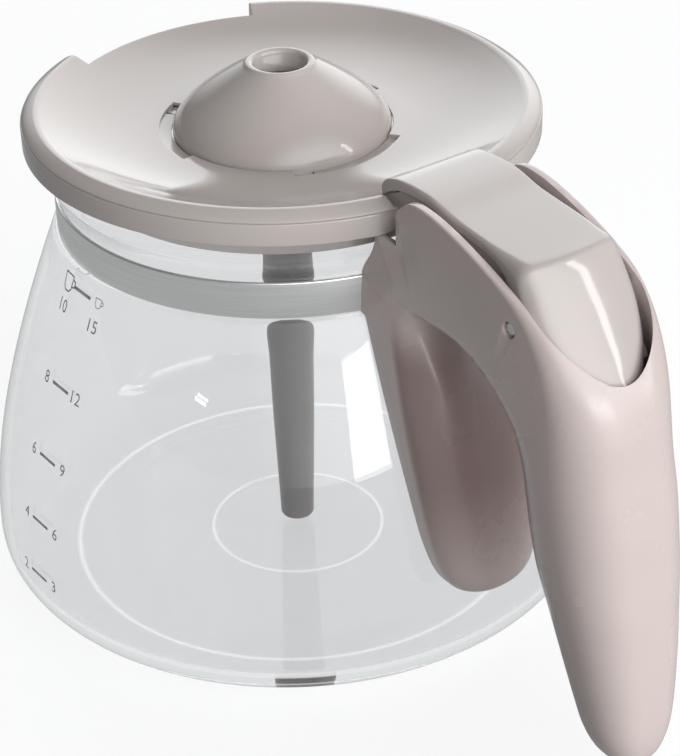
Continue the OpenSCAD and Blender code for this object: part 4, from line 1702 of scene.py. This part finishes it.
@dataclass(frozen=True)
class FloorWhite(Finish):
    """The floor's white: dim to the light that it throws back, bright to the camera."""

    plain: float = 0.26
    shown: float = 0.24
    glow: float = 0.78
    gleam: float = 0.25
    roughness: float = 0.9

    def surface(self, board: Board) -> bpy.types.NodeSocket:
        """Mixes a dim shader and a glowing one by the kind of ray.

        Args:
            board: The node tree to work in.

        Returns:
            The socket with the shader.
        """
        plain = board.add("ShaderNodeBsdfPrincipled", Base_Color=self.tint(self.plain),
                          Roughness=self.roughness, Specular_IOR_Level=0.1)
        shown = board.add("ShaderNodeBsdfPrincipled", Base_Color=self.tint(self.shown),
                          Roughness=self.roughness, Specular_IOR_Level=0.0,
                          Emission_Color=self.tint(), Emission_Strength=self.glow)
        path = board.add("ShaderNodeLightPath").outputs
        glossy = board.maths("MULTIPLY", path["Is Glossy Ray"], self.gleam)
        return board.blend(board.maths("MAXIMUM", seen(board), glossy),
                           plain.outputs["BSDF"], shown.outputs["BSDF"])


@dataclass(frozen=True)
class Glow:
    """A soft light patch of the room: full within one angle, gone past another."""

    azimuth: float
    elevation: float
    inner: float
    outer: float
    low: float
    high: float


@dataclass(frozen=True)
class SoftBox:
    """A soft lamp, placed by its direction and distance from the middle of the jug."""

    name: str
    azimuth: float
    elevation: float
    distance: float
    size: tuple[float, float]
    power: float


@dataclass
class Studio:
    """The floor, the light and the camera."""

    yaw: float = 0.0248
    pitch: float = 0.5527
    roll: float = -0.0267
    turn: float = 56.0
    place: tuple[float, float, float] = (402.4, -271.4, 344.8)
    lens: float = 107.2
    sky_colour: tuple[float, float, float, float] = (0.97, 0.99, 1.0, 1.0)
    floor_half: float = 3000.0
    floor_drop: float = 0.2
    middle: tuple[float, float, float] = (0.02, 0.0, 0.07)
    room: Glow = Glow(0.0, 20.0, 6.0, 54.0, 0.115, 3.15)
    backdrop: Glow = Glow(141.0, 25.0, 12.0, 41.0, 0.0, 2.5)
    lamps: tuple[SoftBox, ...] = (
        SoftBox("key_lamp", 6.0, 4.0, 1.2, (0.83, 0.26), 3.4),
        SoftBox("strip_lamp", 39.0, 20.0, 1.1, (0.085, 0.75), 1.3),
        SoftBox("left_glint", -72.0, 5.0, 1.2, (0.1, 0.008), 0.03))

    def camera(self) -> None:
        """Places the camera of the photograph's view."""
        forward = Vector((math.sin(self.yaw) * math.cos(self.pitch),
                          math.cos(self.yaw) * math.cos(self.pitch), -math.sin(self.pitch)))
        right = forward.cross(Vector((0, 0, 1))).normalized()
        up = right.cross(forward)
        c, s = math.cos(self.roll), math.sin(self.roll)
        side, top = c * right + s * up, c * up - s * right
        spin = Matrix.Rotation(math.radians(self.turn), 3, "Z")
        side, top, back = spin @ side, spin @ top, spin @ -forward
        rotation = Matrix((side, top, back)).transposed().to_4x4()
        data = bpy.data.cameras.new("camera")
        data.lens, data.sensor_width, data.clip_start = self.lens, 36.0, 0.01
        carrier = placed("camera", data)
        carrier.matrix_world = Matrix.Translation(Vector(self.place) * MM) @ rotation
        bpy.context.scene.camera = carrier

    def hang(self, lamp: SoftBox) -> None:
        """Hangs a soft lamp that looks at the middle of the jug.

        Args:
            lamp: The lamp.
        """
        data = bpy.data.lights.new(lamp.name, "AREA")
        data.shape, data.size, data.size_y = "RECTANGLE", lamp.size[0], lamp.size[1]
        data.energy = lamp.power
        away = heading(lamp.azimuth, lamp.elevation)
        placed(lamp.name, data).matrix_world = \
            Matrix.Translation(Vector(self.middle) + lamp.distance * away) \
            @ away.to_track_quat("Z", "Y").to_matrix().to_4x4()

    def world(self) -> None:
        """Sets the soft light from all round, and white where the camera looks.

        The strength is the sum of two soft steps on the share of the sky direction that
        points to a side: a weak one for the whole room and a strong one for the lit
        backdrop behind the jug.
        """
        world = bpy.data.worlds.new("room")
        bpy.context.scene.world = world
        world.use_nodes = True
        board = Board(world.node_tree)
        sky = board.add("ShaderNodeTexCoord").outputs["Generated"]
        levels = []
        for glow in (self.room, self.backdrop):
            share = board.add("ShaderNodeVectorMath", {"operation": "DOT_PRODUCT"}, i0=sky,
                              i1=heading(glow.azimuth, glow.elevation))
            edge = [math.cos(math.radians(angle)) for angle in (glow.outer, glow.inner)]
            levels.append(board.ramp(share.outputs["Value"], edge, (glow.low, glow.high),
                                     "SMOOTHSTEP"))
        soft = board.add("ShaderNodeBackground", Color=self.sky_colour,
                         Strength=board.maths("ADD", *levels))
        white = board.add("ShaderNodeBackground", Color=grey(1.0), Strength=1.0)
        board.add("ShaderNodeOutputWorld", Surface=board.blend(
            seen(board), soft.outputs["Background"], white.outputs["Background"]))

    def floor(self) -> None:
        """Lays the pale floor, which keeps the shadow of the jug."""
        corners = oblong(-self.floor_half, self.floor_half, -self.floor_half, self.floor_half)
        flat = np.insert(corners, 2, -self.floor_drop, axis=1)
        piece = faced("floor", flat, [[0, 1, 2, 3]])
        piece.data.materials.append(FloorWhite("floor_white", (1.0, 1.0, 1.0)).material())

    def build(self) -> None:
        """Sets up the whole stage."""
        self.camera()
        self.world()
        self.floor()
        for lamp in self.lamps:
            self.hang(lamp)
        scene = bpy.context.scene
        scene.view_settings.view_transform = "Standard"


def small_hardware(finishes: Finishes) -> None:
    """Gives the hidden clamp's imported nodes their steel.

    Args:
        finishes: The server's finishes.
    """
    for name in ("strap_anchor", "clamp_screw", "clamp_washer"):
        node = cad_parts[name]
        node.data.materials.clear()
        node.data.materials.append(finishes.steel)
        LOG.info("%s: packed node in steel", name)


def main() -> None:
    """Builds the server piece by piece, then the stage."""
    logging.basicConfig(level=logging.INFO, format="%(message)s")
    Studio().build()
    finishes = Finishes()
    jug = GlassJug()
    jug.dress(finishes)
    CupMarks(jug).dress(finishes)
    NeckBand().dress(finishes)
    Handle().dress(jug, finishes)
    HingePin().dress(finishes)
    shape = LidShape()
    dish = LidDish(shape)
    LidBase(shape).dress(finishes)
    dish.dress(finishes)
    Lever().dress(finishes)
    DripDome(shape).dress(dish, finishes)
    DripTube().dress(finishes)
    small_hardware(finishes)


if __name__ == "__main__":
    main()
